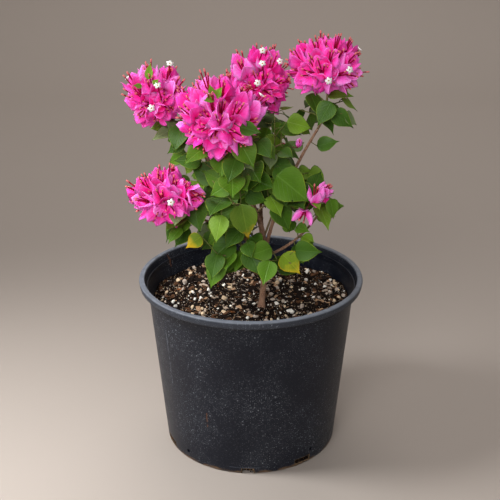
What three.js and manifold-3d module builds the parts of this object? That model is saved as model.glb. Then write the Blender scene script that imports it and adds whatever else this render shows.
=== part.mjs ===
// Bougainvillea bush in a round black nursery pot.
//
// Millimetres, +Z up, +X to the right and +Y away from the viewer. The origin is
// the middle of the pot's flat underside. The plant is a short trunk that
// branches into slim boughs. Each bough ends where it enters a mass of leaves or
// a head of bracts, and each mass grows from one stem by a seeded rule.

import * as THREE from 'three';
import * as BufferGeometryUtils from 'three/addons/utils/BufferGeometryUtils.js';
import Module from 'manifold-3d';

const wasm = await Module();
wasm.setup();

const GAP = 0.3; // air between neighbouring solids
const FULL_TURN = 2 * Math.PI;
const GOLDEN_ANGLE = Math.PI * (3 - Math.sqrt(5));
const UP = new THREE.Vector3(0, 0, 1);

// ---------------------------------------------------------------- driving sizes

const POT = {
  height: 237,
  baseRadius: 117, // outside, at the underside
  wallTopRadius: 138.2, // outside, just under the rim band
  bandRadius: 148.4, // lower edge of the rim band
  rimRadius: 150,
  lipInnerRadius: 142.2,
  bandHeight: 10,
  wall: 2.4,
  floor: 3,
  segments: 36,
};

const DRAIN_NOTCH = { width: 17, height: 8, depth: 12, azimuths: [-2, 178] };
const DRAIN_SLOT = { width: 25, height: 8, sill: 3, depth: 12, azimuths: [-67, 36, 113, 216] };

const MIX_TOP = 208; // the potting mix lies 29 mm below the rim
const MIX_SAG = 3; // lower by this much where it meets the wall

// Trunk stations from foot to tip: x, y, height above the mix, radius. The first
// lies below the mix's top, where the foot is cut flat.
const TRUNK_STATIONS = [
  [13.6, -36.6, -3, 4.2],
  [17.4, -36.6, 45, 3.7],
  [17.8, -36.6, 68, 3.9],
  [12.4, -36.6, 113.5, 3.3],
  [-8, -34.6, 166, 2.8],
  [-20.3, -48.6, 213, 2.2],
];
const FOOT_FLARE = { height: 12, extra: 1.6 };

// Boughs: the place on the trunk (0 foot, 1 tip), the tip, how far the middle bows
// off the straight line, and the radius at root and tip.
const BOUGHS = [
  { name: 'bough_right', at: 0.4, tip: [84, -4, 438], bow: [-12, -4, -4], radii: [2.5, 1.6] },
  { name: 'bough_upper_left', at: 0.8, tip: [-72, -2, 413], bow: [4, 10, -10], radii: [2, 1.4] },
  { name: 'bough_lower_left', at: 0.43, tip: [-74, -38, 332], bow: [0, 6, 6], radii: [1.8, 1.4] },
  { name: 'bough_low_right', at: 0.415, tip: [86, -41, 338], bow: [3, 4, -10], radii: [1.9, 1.3] },
  { name: 'bough_back', at: 0.56, tip: [10, 34, 428], bow: [0, 16, -16], radii: [2.1, 1.5] },
  { name: 'bough_back_left', at: 0.64, tip: [-36, 40, 396], bow: [-6, 10, -12], radii: [1.8, 1.3] },
];

// Masses. Each grows from one stem: from its bough's tip, or from the trunk at
// the station `at`. `space` is the ellipsoid it keeps to (centre, half sizes).
// A head adds florets round the stem's end. `nodes` is how many leaf nodes the
// stem has, `reach` the usual twig length and `leaf` the usual blade length.
// `front` turns the blades towards the light that falls on the plant's front.
// `first` and `last` are the shares of the stem between which the nodes lie.
const LIT_FRONT = 0.6;
const FIRST_NODE = { leafy: 0.35, underHead: 0.1 };
const MASSES = [
  {
    name: 'bloom_top_right', carrier: 'bough_right', at: 1, seed: 98,
    space: { centre: [92, 8, 480], half: [66, 58, 85] },
    nodes: 9, reach: 30, leaf: 31,
    head: { centre: [93, 15, 515], half: [46, 42, 44], florets: 13, bract: 25.9, seed: 58 },
  },
  {
    name: 'bloom_centre', carrier: 'trunk', at: 1, seed: 217,
    space: { centre: [-28, -68, 460], half: [64, 60, 80] },
    nodes: 6, reach: 28, leaf: 35,
    head: { centre: [-37, -75, 475], half: [54, 49, 51], florets: 14, bract: 28.1, seed: 45 },
  },
  {
    name: 'bloom_back', carrier: 'bough_back', at: 1, seed: 33,
    space: { centre: [12, 48, 462], half: [60, 58, 80] },
    nodes: 8, reach: 30, leaf: 34, front: 0,
    head: { centre: [11, 55, 487], half: [42, 40, 49], florets: 12, bract: 25.9, seed: 38 },
  },
  {
    name: 'bloom_upper_left', carrier: 'bough_upper_left', at: 1, seed: 212,
    space: { centre: [-104, 3, 450], half: [60, 56, 82] },
    nodes: 8, reach: 26, leaf: 30,
    head: { centre: [-119, 5, 479.5], half: [40, 38, 46.5], florets: 12, bract: 24.8, seed: 34 },
  },
  {
    name: 'bloom_lower_left', carrier: 'bough_lower_left', at: 1, seed: 59,
    space: { centre: [-98, -47, 346], half: [64, 60, 66] },
    nodes: 7, reach: 28, leaf: 34,
    head: { centre: [-106, -45, 368], half: [46.5, 43, 40], florets: 14, bract: 25.9, seed: 4 },
  },
  {
    name: 'bloom_low_right', carrier: 'bough_low_right', at: 1, seed: 245,
    space: { centre: [82, -46, 342], half: [56, 48, 60] },
    nodes: 8, reach: 26, leaf: 32, last: 0.75,
    head: { centre: [80, -50, 372], half: [18, 19, 17], florets: 6, bract: 19.4, seed: 52 },
  },
  {
    name: 'bloom_back_left', carrier: 'bough_back_left', at: 1, seed: 220,
    space: { centre: [-48, 58, 422], half: [56, 56, 66] },
    nodes: 8, reach: 30, leaf: 34, front: 0,
    head: { centre: [-52, 66, 440], half: [35, 32, 33], florets: 7, bract: 25.9, seed: 22 },
  },
  {
    name: 'leaves_front', carrier: 'trunk', at: 0.6, seed: 148,
    space: { centre: [-20, -74, 362], half: [58, 48, 52] },
    nodes: 10, reach: 37, leaf: 37, first: 0.2,
    end: [-22, -80, 366],
  },
  {
    name: 'leaves_mid_left', carrier: 'trunk', at: 0.72, seed: 154,
    space: { centre: [-46, -18, 372], half: [56, 56, 54] },
    nodes: 10, reach: 35, leaf: 35, first: 0.2,
    end: [-54, -30, 374],
  },
  {
    name: 'leaves_mid_right', carrier: 'trunk', at: 0.66, seed: 226,
    space: { centre: [36, -60, 372], half: [56, 50, 50] },
    nodes: 10, reach: 35, leaf: 38, first: 0.2,
    end: [40, -66, 372],
  },
  {
    name: 'leaves_high_right', carrier: 'trunk', at: 0.86, seed: 39,
    space: { centre: [36, -22, 424], half: [50, 48, 44] },
    nodes: 10, reach: 35, leaf: 32, first: 0.2,
    end: [40, -24, 426],
  },
  {
    name: 'leaves_low_left', carrier: 'trunk', at: 0.36, seed: 186,
    space: { centre: [-32, -64, 288], half: [62, 58, 48] },
    nodes: 9, reach: 35, leaf: 36, first: 0.2,
    end: [-40, -66, 290],
  },
  {
    name: 'leaves_low_right', carrier: 'trunk', at: 0.32, seed: 21,
    space: { centre: [40, -72, 282], half: [62, 54, 46] },
    nodes: 9, reach: 33, leaf: 34, first: 0.2,
    end: [50, -74, 284],
  },
  {
    name: 'leaves_back_right', carrier: 'trunk', at: 0.52, seed: 66,
    space: { centre: [50, 28, 356], half: [60, 56, 62] },
    nodes: 11, reach: 43, leaf: 37, first: 0.2, front: 0,
    end: [52, 30, 362],
  },
  {
    name: 'leaves_back_low', carrier: 'trunk', at: 0.4, seed: 211,
    space: { centre: [-26, 20, 312], half: [60, 54, 52] },
    nodes: 11, reach: 43, leaf: 37, first: 0.2, front: 0,
    end: [-24, 26, 318],
  },
];

// Leaves that stand out by their size: the mass, the blade's root and its tip.
const NAMED_LEAVES = [
  { mass: 'leaves_mid_right', root: [30.6, -85, 403.2], tip: [72, -92, 371.1] },
  { mass: 'leaves_front', root: [-11.9, -85, 366.2], tip: [-2.9, -90, 319.6] },
  { mass: 'leaves_low_right', root: [39.7, -68, 293.5], tip: [62.8, -78, 270.2] },
  { mass: 'leaves_low_left', root: [-62.7, -55, 312.9], tip: [-82.9, -62, 299.7] },
];

const LEAF = {
  halfWidth: 0.36, // of the length
  outline: [[0, 0], [0.1, 0.52], [0.36, 1], [0.7, 0.6], [1, 0]], // along, across
  solidRim: [[0.2, 0.85], [0.62, 0.78]], // the outline's corners in the solid
  fold: 0.3, // how far the edges stand above the midrib
  droop: 0.12, // how far the tip curls down
  thickness: 0.03, // at the middle, of the length
  petiole: 0.24,
  petioleRadii: [0.35, 0.7], // on the twig, at the blade
  sunk: 0.7, // how deep the stalk starts in its twig
};
const BRACT = {
  halfWidth: 0.34,
  outline: [[0, 0], [0.22, 0.7], [0.5, 1], [0.78, 0.66], [1, 0]],
  solidRim: [0.5, 1], // the widest place of each lobe in the solid
  fold: 0.25,
  droop: 0.12,
  notch: 0.2, // how far up neighbouring bracts meet
  thickness: 0.12, // of the cup's bottom, of the length
};
// Room that growth keeps: to a neighbour's space as a share of its half size, to
// the limbs in millimetres, and between two blades' middles as a share of length.
const CELL_MARGIN = 0.025;
const LIMB_CLEARANCE = 2.5;
const LOWEST_LEAF = MIX_TOP + 6;
const CROWDING = 0.42;
const LEAF_REACH = 1.1; // how far blades may pass out of their mass's space
const BRACT_REACH = 1.3;

// A stem's middle is lifted by a share of its length, or follows its bough's way.
const STEM = { trunkRootRadius: 1.5, tipRadius: 1.25, sides: 4, steps: 4, lift: 0.14, follow: 0.45 };
const TWIG = { radii: [0.95, 0.8], sides: 3, steps: 1, lift: 0.04, leafPlaces: [0.55, 1] };
const BARE_NODES = 3; // every third node of a stem has no twig
// Inside a head: the knot of branchlets, the florets' stalks, how far the bracts'
// tips stray from its surface and the cone round the stem that stays bare.
const HEAD = {
  hubRadius: 4.5,
  stalkRadius: 0.8,
  surface: [0.88, 1.08],
  tips: 0.85, // how far a floret reaches along its axis, of its bracts' length
  innermost: 6.5,
  bareCosine: 0.86,
};
// How a leaf hangs: shares of its twig's way, of the way outward and of chance in
// where it points, and of the ways outward and up in where it faces.
const HABIT = {
  onward: 0.55,
  outward: 0.4,
  sag: 0.6,
  chance: 0.9,
  faceOutward: 0.5,
  faceUp: 0.7,
  tilt: 0.6,
};
// Least and greatest share of a usual size.
const SPREAD = { leaf: [0.75, 1.25], endLeaf: [0.85, 1.15], twig: [0.6, 1.4], floret: [0.85, 1.15] };
const CUP_OPENING = [0.5, 0.9]; // radians between a floret's axis and its bracts
const SEAM = 0.2; // facets this small at the joins are merged
const TRUNK_SIDES = 8;
const TRUNK_STEPS = 14;
const BOUGH_SIDES = 6;
const BOUGH_STEPS = 7;
const TEST_STRETCHES = 12; // straight stretches that stand for a limb in the tests
const PLANT_AXIS = new THREE.Vector3(0, -25, 0); // leaves face away from it

// --------------------------------------------------------------- small helpers

const vec = (x, y, z) => new THREE.Vector3(x, y, z);
const along = (origin, ...terms) => {
  const sum = origin.clone();
  for (const [direction, length] of terms) sum.addScaledVector(direction, length);
  return sum;
};

const between = ([low, high], share) => low + (high - low) * share;

// A repeatable stream of numbers from 0 to 1.
function randomStream(seed) {
  let state = seed >>> 0;
  return () => {
    state = (state + 0x6d2b79f5) >>> 0;
    let t = state;
    t = Math.imul(t ^ (t >>> 15), t | 1);
    t ^= t + Math.imul(t ^ (t >>> 7), t | 61);
    return ((t ^ (t >>> 14)) >>> 0) / 4294967296;
  };
}

function toManifold(geometry) {
  const bare = geometry.clone();
  bare.deleteAttribute('normal');
  bare.deleteAttribute('uv');
  const merged = BufferGeometryUtils.mergeVertices(bare, 1e-4);
  return new wasm.Manifold(new wasm.Mesh({
    numProp: 3,
    vertProperties: new Float32Array(merged.attributes.position.array),
    triVerts: new Uint32Array(merged.index.array),
  }));
}

function toGeometry(solid) {
  const mesh = solid.getMesh();
  const geometry = new THREE.BufferGeometry();
  geometry.setAttribute('position', new THREE.BufferAttribute(mesh.vertProperties, 3));
  geometry.setIndex(new THREE.BufferAttribute(mesh.triVerts, 1));
  geometry.computeVertexNormals();
  return geometry;
}

// The one body of a solid: loose scraps and sealed hollows are dropped.
function mainBody(solid) {
  const parts = solid.decompose();
  return parts.reduce((best, part) => (part.volume() > best.volume() ? part : best));
}

// ----------------------------------------------------------------------- limbs

// Right-handed frames along a curve, carried on from ring to ring without twist.
function framesAlong(curve, steps) {
  const frames = [];
  let across = null;
  for (let i = 0; i <= steps; i += 1) {
    const t = i / steps;
    const tangent = curve.getPoint(Math.min(t + 0.01, 1)).sub(curve.getPoint(Math.max(t - 0.01, 0)));
    tangent.normalize();
    if (across === null) across = perpendicularTo(tangent);
    across = along(across, [tangent, -across.dot(tangent)]).normalize();
    frames.push({ origin: curve.getPoint(t), across, tangent, other: across.clone().cross(tangent) });
  }
  return frames;
}

function perpendicularTo(direction) {
  const reference = Math.abs(direction.z) < 0.9 ? UP : vec(1, 0, 0);
  return direction.clone().cross(reference).normalize();
}

// A direction at right angles to an axis, turned round it by an angle.
function sideways(axis, angle) {
  const first = perpendicularTo(axis);
  const second = axis.clone().cross(first);
  return along(vec(0, 0, 0), [first, Math.cos(angle)], [second, Math.sin(angle)]);
}

// A tapering limb: its profile is turned round an axis, then bent along the curve.
function limbGeometry(limb, sides, steps, extra = 0) {
  const profile = [new THREE.Vector2(0, 0)];
  for (let i = 0; i <= steps; i += 1) {
    profile.push(new THREE.Vector2(limb.radius(i / steps) + extra, i));
  }
  profile.push(new THREE.Vector2(0, steps));
  const geometry = new THREE.LatheGeometry(profile, sides);
  const frames = framesAlong(limb.curve, steps);
  const position = geometry.attributes.position;
  for (let i = 0; i < position.count; i += 1) {
    const frame = frames[Math.round(position.getY(i))];
    const point = along(frame.origin, [frame.across, position.getX(i)], [frame.other, position.getZ(i)]);
    position.setXYZ(i, point.x, point.y, point.z);
  }
  return geometry;
}

const taper = (from, to) => (t) => from + (to - from) * t;

class Trunk extends THREE.Curve {
  constructor() {
    super();
    const points = TRUNK_STATIONS.map(([x, y, height]) => vec(x, y, MIX_TOP + height));
    this.line = new THREE.CatmullRomCurve3(points, false, 'catmullrom', 0.5);
  }

  getPoint(t) {
    return this.line.getPoint(Math.min(Math.max(t, 0), 1));
  }
}

// The trunk's radius between its stations, with the flare at its foot.
function trunkRadius(t) {
  const last = TRUNK_STATIONS.length - 1;
  const place = Math.min(Math.max(t, 0), 1) * last;
  const i = Math.min(Math.floor(place), last - 1);
  const radius = taper(TRUNK_STATIONS[i][3], TRUNK_STATIONS[i + 1][3])(place - i);
  const height = place * (TRUNK_STATIONS[1][2] - TRUNK_STATIONS[0][2]);
  return radius + FOOT_FLARE.extra * Math.max(0, 1 - height / FOOT_FLARE.height) ** 2;
}

const trunk = { name: 'trunk', curve: new Trunk(), radius: trunkRadius };

const boughs = BOUGHS.map(({ name, at, tip, bow, radii }) => {
  const from = trunk.curve.getPoint(at);
  const to = vec(...tip);
  const control = along(from.clone().add(to).multiplyScalar(0.5), [vec(...bow), 2]);
  const curve = new THREE.QuadraticBezierCurve3(from, control, to);
  return { name, curve, radius: taper(...radii) };
});

const limbs = new Map([trunk, ...boughs].map((limb) => [limb.name, limb]));

function headingAtTip(limb) {
  return limb.curve.getPoint(1).sub(limb.curve.getPoint(0.98)).normalize();
}

// The stem that a mass grows on.
function stemOf(mass) {
  const onTrunkSide = mass.carrier === 'trunk' && mass.at < 1;
  const carrier = limbs.get(mass.carrier);
  const from = onTrunkSide ? trunk.curve.getPoint(mass.at) : carrier.curve.getPoint(1);
  const to = vec(...(mass.head ? mass.head.centre : mass.end));
  const length = from.distanceTo(to);
  const control = onTrunkSide
    ? along(from.clone().add(to).multiplyScalar(0.5), [UP, length * STEM.lift])
    : along(from, [headingAtTip(carrier), length * STEM.follow]);
  const rootRadius = onTrunkSide ? STEM.trunkRootRadius : carrier.radius(1);
  return {
    name: mass.name,
    curve: new THREE.QuadraticBezierCurve3(from, control, to),
    radius: taper(rootRadius, STEM.tipRadius),
    length,
    onTrunkSide,
  };
}

// --------------------------------------------------------- leaves and florets

// A blade's surface: t runs from root to tip, u from edge to edge (-1 to 1).
function bladeSurface(blade, shape) {
  const across = blade.direction.clone().cross(blade.face);
  const width = blade.length * shape.halfWidth;
  return (t, u) => {
    const rise = Math.abs(u) * width * shape.fold - t * t * blade.length * shape.droop;
    return along(blade.root, [blade.direction, t * blade.length], [across, u * width], [blade.face, rise]);
  };
}

function bladeOutline(blade, shape) {
  const surface = bladeSurface(blade, shape);
  const right = shape.outline.map(([t, u]) => surface(t, u));
  const left = shape.outline.slice(1, -1).reverse().map(([t, u]) => surface(t, -u));
  return [...right, ...left];
}

function solidOf(points, faces) {
  const geometry = new THREE.BufferGeometry().setFromPoints(points);
  geometry.setIndex(faces);
  return toManifold(geometry);
}

// Triangles from a middle point to each stretch of a run of corners.
function fan(middle, corners) {
  return corners.slice(1).flatMap((corner, i) => [middle, corners[i], corner]);
}

// A leaf as one closed body: a three-sided stalk that opens into the blade.
function leafSolid(leaf) {
  const surface = bladeSurface(leaf, LEAF);
  const right = LEAF.solidRim.map(([t, u]) => surface(t, u));
  const left = LEAF.solidRim.map(([t, u]) => surface(t, -u)).reverse();
  const middle = surface(0.4, 0);
  const half = leaf.length * LEAF.thickness * 0.5;
  const way = leaf.root.clone().sub(leaf.at).normalize();
  const across = leaf.direction.clone().cross(leaf.face);
  const ring = (origin, radius) => {
    const side = squareTo(across, way);
    const below = way.clone().cross(side);
    return [
      along(origin, [side, -radius], [below, -radius * 0.5]),
      along(origin, [side, radius], [below, -radius * 0.5]),
      along(origin, [below, radius]),
    ];
  };
  const rim = [...right, surface(1, 0), ...left];
  const points = [
    ...ring(along(leaf.at, [way, -LEAF.sunk]), LEAF.petioleRadii[0]),
    ...ring(leaf.root, LEAF.petioleRadii[1]),
    ...rim,
    along(middle, [leaf.face, half]), along(middle, [leaf.face, -half]),
  ];
  const [leftFoot, rightFoot, underFoot] = [3, 4, 5];
  const edge = rim.map((_, i) => 6 + i);
  const [top, bottom] = [6 + rim.length, 7 + rim.length];
  const stalk = [0, 1, 2].flatMap((i) => {
    const next = (i + 1) % 3;
    return [i, next, i + 3, next, next + 3, i + 3];
  });
  const faces = [
    0, 2, 1,
    ...stalk,
    ...fan(top, [rightFoot, ...edge, leftFoot, rightFoot]),
    ...fan(bottom, [leftFoot, ...edge.slice().reverse(), rightFoot, underFoot, leftFoot]),
  ];
  return solidOf(points, faces);
}

// A floret as one closed body: three pointed lobes that meet in a shallow cup,
// on a three-sided stalk that starts in the knot inside the head.
function floretSolid(floret, centre) {
  const { notch, solidRim, thickness } = BRACT;
  const { axis, length, opening, roll } = floret;
  const depth = length * thickness;
  const stalkRing = (origin) => [0, 1, 2].map(
    (i) => along(origin, [sideways(axis, roll + (i * FULL_TURN) / 3), HEAD.stalkRadius]),
  );
  const foot = stalkRing(along(centre, [axis, HEAD.hubRadius * 0.5]));
  const neck = stalkRing(along(floret.root, [axis, -depth]));
  const lobes = bractsOf(floret).flatMap((bract, i) => {
    const surface = bladeSurface(bract, BRACT);
    const dip = sideways(axis, roll + ((i + 0.5) * FULL_TURN) / 3);
    const [t, u] = solidRim;
    const [rise, spread] = [length * notch * Math.cos(opening), length * notch * Math.sin(opening)];
    return [surface(t, u), surface(1, 0), surface(t, -u), along(floret.root, [axis, rise], [dip, spread])];
  });
  const points = [...foot, ...neck, ...lobes, along(floret.root, [axis, depth * 0.4])];
  const top = points.length - 1;
  const ring = [...lobes.map((_, i) => 6 + i), 6];
  const faces = [...fan(top, ring), 0, 2, 1];
  for (let i = 0; i < 3; i += 1) {
    const next = (i + 1) % 3;
    const lobe = 6 + i * 4;
    const before = 6 + ((i + 2) % 3) * 4 + 3;
    faces.push(i, next, i + 3, next, next + 3, i + 3);
    faces.push(...fan(i + 3, [before, lobe, lobe + 1, lobe + 2, lobe + 3].reverse()));
    faces.push(i + 3, next + 3, lobe + 3);
  }
  return solidOf(points, faces);
}

// Points spread over a leaf, for testing how near a limb comes to it.
function leafSamples(leaf) {
  const surface = bladeSurface(leaf, LEAF);
  const samples = [];
  for (let i = 0; i <= 8; i += 1) {
    const width = outlineWidth(LEAF.outline, i / 8);
    for (const share of [-1, -0.5, 0, 0.5, 1]) samples.push(surface(i / 8, width * share));
  }
  return samples;
}

function outlineWidth(outline, t) {
  const i = outline.findIndex(([end]) => t <= end);
  if (i <= 0) return outline[0][1];
  const [[t0, w0], [t1, w1]] = [outline[i - 1], outline[i]];
  return w0 + ((w1 - w0) * (t - t0)) / (t1 - t0);
}

// The three bracts of a floret open like a cup round its axis.
function bractsOf(floret) {
  return [0, 1, 2].map((i) => {
    const side = sideways(floret.axis, floret.roll + (i * FULL_TURN) / 3);
    const [cos, sin] = [Math.cos(floret.opening), Math.sin(floret.opening)];
    return {
      root: floret.root,
      direction: along(vec(0, 0, 0), [floret.axis, cos], [side, sin]).normalize(),
      face: along(vec(0, 0, 0), [floret.axis, sin], [side, -cos]),
      length: floret.length,
    };
  });
}

// -------------------------------------------------------- room for each growth

// How far out a point lies in a mass's space: 0 at its centre, 1 on its surface.
function rankIn(mass, point) {
  const { centre, half } = mass.space;
  return Math.hypot(
    (point.x - centre[0]) / half[0],
    (point.y - centre[1]) / half[1],
    (point.z - centre[2]) / half[2],
  );
}

function inOwnSpace(mass, point, reach = 1) {
  const own = rankIn(mass, point);
  if (own > reach || point.z < LOWEST_LEAF) return false;
  return MASSES.every((other) => other === mass || rankIn(other, point) > own + CELL_MARGIN);
}

// Straight stretches of every limb and stem, with their owner and radius.
const stretches = [trunk, ...boughs, ...MASSES.map(stemOf)].flatMap((limb) => {
  const points = limb.curve.getPoints(TEST_STRETCHES);
  return points.slice(1).map((end, i) => ({
    owner: limb.name,
    line: new THREE.Line3(points[i], end),
    radius: limb.radius(i / TEST_STRETCHES),
  }));
});

function airTo(stretch, point) {
  const closest = stretch.line.closestPointToPoint(point, true, vec(0, 0, 0));
  return closest.distanceTo(point) - stretch.radius;
}

function clearOfLimbs(points, owner, reach) {
  const middle = points[Math.floor(points.length / 2)];
  const near = stretches.filter(
    (stretch) => stretch.owner !== owner && airTo(stretch, middle) < reach + LIMB_CLEARANCE,
  );
  return near.every((stretch) => points.every((point) => airTo(stretch, point) > LIMB_CLEARANCE));
}

function leafFits(leaf, mass) {
  const stalk = [0.25, 0.5, 0.75].map((t) => leaf.at.clone().lerp(leaf.root, t));
  return bladeOutline(leaf, LEAF).every((point) => inOwnSpace(mass, point, LEAF_REACH))
    && clearOfLimbs([...leafSamples(leaf), ...stalk], mass.name, leaf.length);
}

const middleOf = (leaf) => along(leaf.root, [leaf.direction, leaf.length * 0.45]);

function crowded(leaf, leaves) {
  return leaves.some((other) => {
    const least = (leaf.length + other.length) * 0.5 * CROWDING;
    return middleOf(leaf).distanceTo(middleOf(other)) < least;
  });
}

function twigFits(curve, mass, reach) {
  const points = curve.getPoints(5).slice(1);
  return points.every((point) => inOwnSpace(mass, point)) && clearOfLimbs(points, mass.name, reach);
}

function floretFits(floret, mass) {
  const points = bractsOf(floret).flatMap((bract) => bladeOutline(bract, BRACT));
  return points.every((point) => inOwnSpace(mass, point, BRACT_REACH))
    && clearOfLimbs(points, mass.name, floret.length);
}

// ---------------------------------------------------------------------- growth

const scattered = (draw) => vec(draw() - 0.5, draw() - 0.5, draw() - 0.5);

// How a leaf hangs: its tip points out and down, its face up and to the light.
function leafAttitude(root, heading, front, draw) {
  const outward = vec(root.x - PLANT_AXIS.x, root.y - PLANT_AXIS.y, 0).normalize();
  const direction = along(
    scattered(draw).multiplyScalar(HABIT.chance),
    [heading, HABIT.onward],
    [outward, HABIT.outward],
    [UP, -HABIT.sag],
  ).normalize();
  const face = along(
    scattered(draw).multiplyScalar(HABIT.tilt),
    [outward, HABIT.faceOutward],
    [UP, HABIT.faceUp],
    [vec(0, -1, 0), front],
  );
  return { direction, face: squareTo(face, direction) };
}

function squareTo(face, direction) {
  return along(face, [direction, -face.dot(direction)]).normalize();
}

function growLeaf(mass, at, heading, length, draw) {
  const root = along(at, [heading, length * LEAF.petiole]);
  const attitude = leafAttitude(root, heading, mass.front ?? LIT_FRONT, draw);
  return { at, root, ...attitude, length, shade: draw() };
}

function namedLeaves(mass, stem) {
  const places = Array.from({ length: 13 }, (_, i) => stem.curve.getPoint((i + 8) / 20));
  return NAMED_LEAVES.filter((row) => row.mass === mass.name).map((row) => {
    const root = vec(...row.root);
    const tip = vec(...row.tip);
    const direction = tip.clone().sub(root).normalize();
    const at = places.sort((a, b) => a.distanceTo(root) - b.distanceTo(root))[0];
    const face = squareTo(vec(-0.1, -0.75, 0.65), direction);
    return { at, root, direction, face, length: tip.distanceTo(root), shade: 0.5 };
  });
}

// Twigs and leaves: at each node of the stem a leaf, and mostly a twig with two.
function growLeaves(mass, stem) {
  const draw = randomStream(mass.seed);
  const phase = draw() * FULL_TURN;
  const leaves = namedLeaves(mass, stem);
  const twigs = [];
  const settle = (leaf) => {
    const fits = leafFits(leaf, mass) && !crowded(leaf, leaves);
    if (fits) leaves.push(leaf);
    return fits;
  };
  const first = mass.first ?? (mass.head ? FIRST_NODE.underHead : FIRST_NODE.leafy);
  const underHead = mass.head ? 1 - (0.8 * Math.max(...mass.head.half)) / stem.length : 1;
  const last = mass.last ?? underHead;
  const leafLength = () => mass.leaf * between(SPREAD.leaf, draw());
  for (let k = 0; k < mass.nodes; k += 1) {
    const f = first + ((last - first) * (k + 0.5)) / mass.nodes;
    const at = stem.curve.getPoint(f);
    const onward = stem.curve.getPoint(f + 0.01).sub(stem.curve.getPoint(f - 0.01)).normalize();
    const angle = phase + GOLDEN_ANGLE * k + (draw() - 0.5) * 0.6;
    const side = sideways(onward, angle);
    const heading = along(side, [onward, 0.3 + 0.4 * draw()], [UP, 0.1]).normalize();
    const reach = mass.reach * between(SPREAD.twig, draw());
    const nodeLeafWay = along(heading, [side, -0.2], [onward, 0.3]).normalize();
    const nodeLeaf = growLeaf(mass, at, nodeLeafWay, leafLength(), draw);
    settle(nodeLeaf);

    const tip = along(at, [heading, reach]);
    const control = along(at.clone().add(tip).multiplyScalar(0.5), [UP, reach * TWIG.lift]);
    const curve = new THREE.QuadraticBezierCurve3(at, control, tip);
    const twigLeaves = TWIG.leafPlaces.map((place, j) => {
      const turned = sideways(heading, angle * 1.7 + Math.PI * j + draw() * 1.5);
      const way = place === 1 ? heading : along(turned, [heading, 0.4]).normalize();
      return growLeaf(mass, curve.getPoint(place), way, leafLength(), draw);
    });
    if (k % BARE_NODES === BARE_NODES - 1 || !twigFits(curve, mass, reach)) continue;
    const settled = twigLeaves.filter(settle);
    if (settled.length > 0) twigs.push(curve);
  }
  if (!mass.head) {
    const end = stem.curve.getPoint(1);
    const heading = end.clone().sub(stem.curve.getPoint(0.97)).normalize();
    const length = mass.leaf * between(SPREAD.endLeaf, draw());
    settle(growLeaf(mass, end, heading, length, draw));
  }
  return { twigs, leaves };
}

// Florets spread evenly round a head, with their bracts' tips near its surface.
function growFlorets(mass, stem) {
  const draw = randomStream(mass.head.seed);
  const centre = vec(...mass.head.centre);
  const half = mass.head.half;
  const towardsStem = stem.curve.getPoint(0.85).sub(centre).normalize();
  const spin = draw() * FULL_TURN;
  const florets = [];
  for (let k = 0; k < mass.head.florets; k += 1) {
    const z = 1 - (2 * (k + 0.5)) / mass.head.florets;
    const angle = spin + GOLDEN_ANGLE * k + (draw() - 0.5) * 0.35;
    const ring = Math.sqrt(Math.max(0, 1 - z * z));
    const axis = vec(ring * Math.cos(angle), ring * Math.sin(angle), z + (draw() - 0.5) * 0.1).normalize();
    const jitter = between(HEAD.surface, draw());
    const roll = draw() * FULL_TURN;
    const opening = between(CUP_OPENING, draw());
    const length = mass.head.bract * between(SPREAD.floret, draw());
    const reach = jitter / Math.hypot(axis.x / half[0], axis.y / half[1], axis.z / half[2]);
    const root = along(centre, [axis, Math.max(reach - length * HEAD.tips, HEAD.innermost)]);
    const floret = { root, axis, length, roll, opening };
    if (axis.dot(towardsStem) < HEAD.bareCosine && floretFits(floret, mass)) florets.push(floret);
  }
  return florets;
}

// --------------------------------------------------------------------- solids

function turned(profile, segments) {
  const geometry = new THREE.LatheGeometry(profile.map(([r, z]) => new THREE.Vector2(r, z)), segments);
  return toManifold(geometry.rotateX(Math.PI / 2));
}

// A block across the pot's wall at an azimuth, 0 facing the viewer, for its drains.
function drainBlock({ width, height, depth }, sill, azimuth) {
  const overlap = 1;
  const bottom = sill > 0 ? sill : -overlap;
  const geometry = new THREE.BoxGeometry(width, depth, height + sill - bottom);
  const middle = POT.baseRadius - depth / 2 + overlap * 2;
  geometry.translate(0, -middle, (height + sill + bottom) / 2);
  return toManifold(geometry.rotateZ(THREE.MathUtils.degToRad(azimuth)));
}

function wallRadiusInside(z) {
  return POT.baseRadius - POT.wall + ((POT.wallTopRadius - POT.baseRadius) * z) / POT.height;
}

function potSolid() {
  const { height, bandHeight, rimRadius, bandRadius, lipInnerRadius, floor } = POT;
  const bandFoot = height - bandHeight;
  const profile = [
    [0, 0],
    [POT.baseRadius - 1.5, 0],
    [POT.baseRadius, 1.5],
    [POT.wallTopRadius, bandFoot],
    [bandRadius, bandFoot + 0.6],
    [rimRadius, height - 2],
    [rimRadius - 1.4, height],
    [lipInnerRadius + 1, height],
    [lipInnerRadius, height - 1],
    [lipInnerRadius - 0.6, height - 5],
    [wallRadiusInside(height - 12), height - 12],
    [wallRadiusInside(floor), floor],
    [0, floor],
  ];
  let solid = turned(profile, POT.segments);
  for (const azimuth of DRAIN_NOTCH.azimuths) solid = solid.subtract(drainBlock(DRAIN_NOTCH, 0, azimuth));
  for (const azimuth of DRAIN_SLOT.azimuths) {
    solid = solid.subtract(drainBlock(DRAIN_SLOT, DRAIN_SLOT.sill, azimuth));
  }
  return mainBody(solid);
}

// The potting mix fills the pot; it is cut back where the drains pass through.
function mixSolid() {
  const bottom = POT.floor + GAP;
  const edge = MIX_TOP - MIX_SAG;
  const flat = 70; // radius of the level middle
  const profile = [
    [0, bottom],
    [wallRadiusInside(bottom) - GAP, bottom],
    [wallRadiusInside(edge) - GAP, edge],
    [(wallRadiusInside(edge) + flat) / 2, MIX_TOP - MIX_SAG * 0.3],
    [flat, MIX_TOP],
    [0, MIX_TOP],
  ];
  return mainBody(turned(profile, POT.segments));
}

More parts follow.
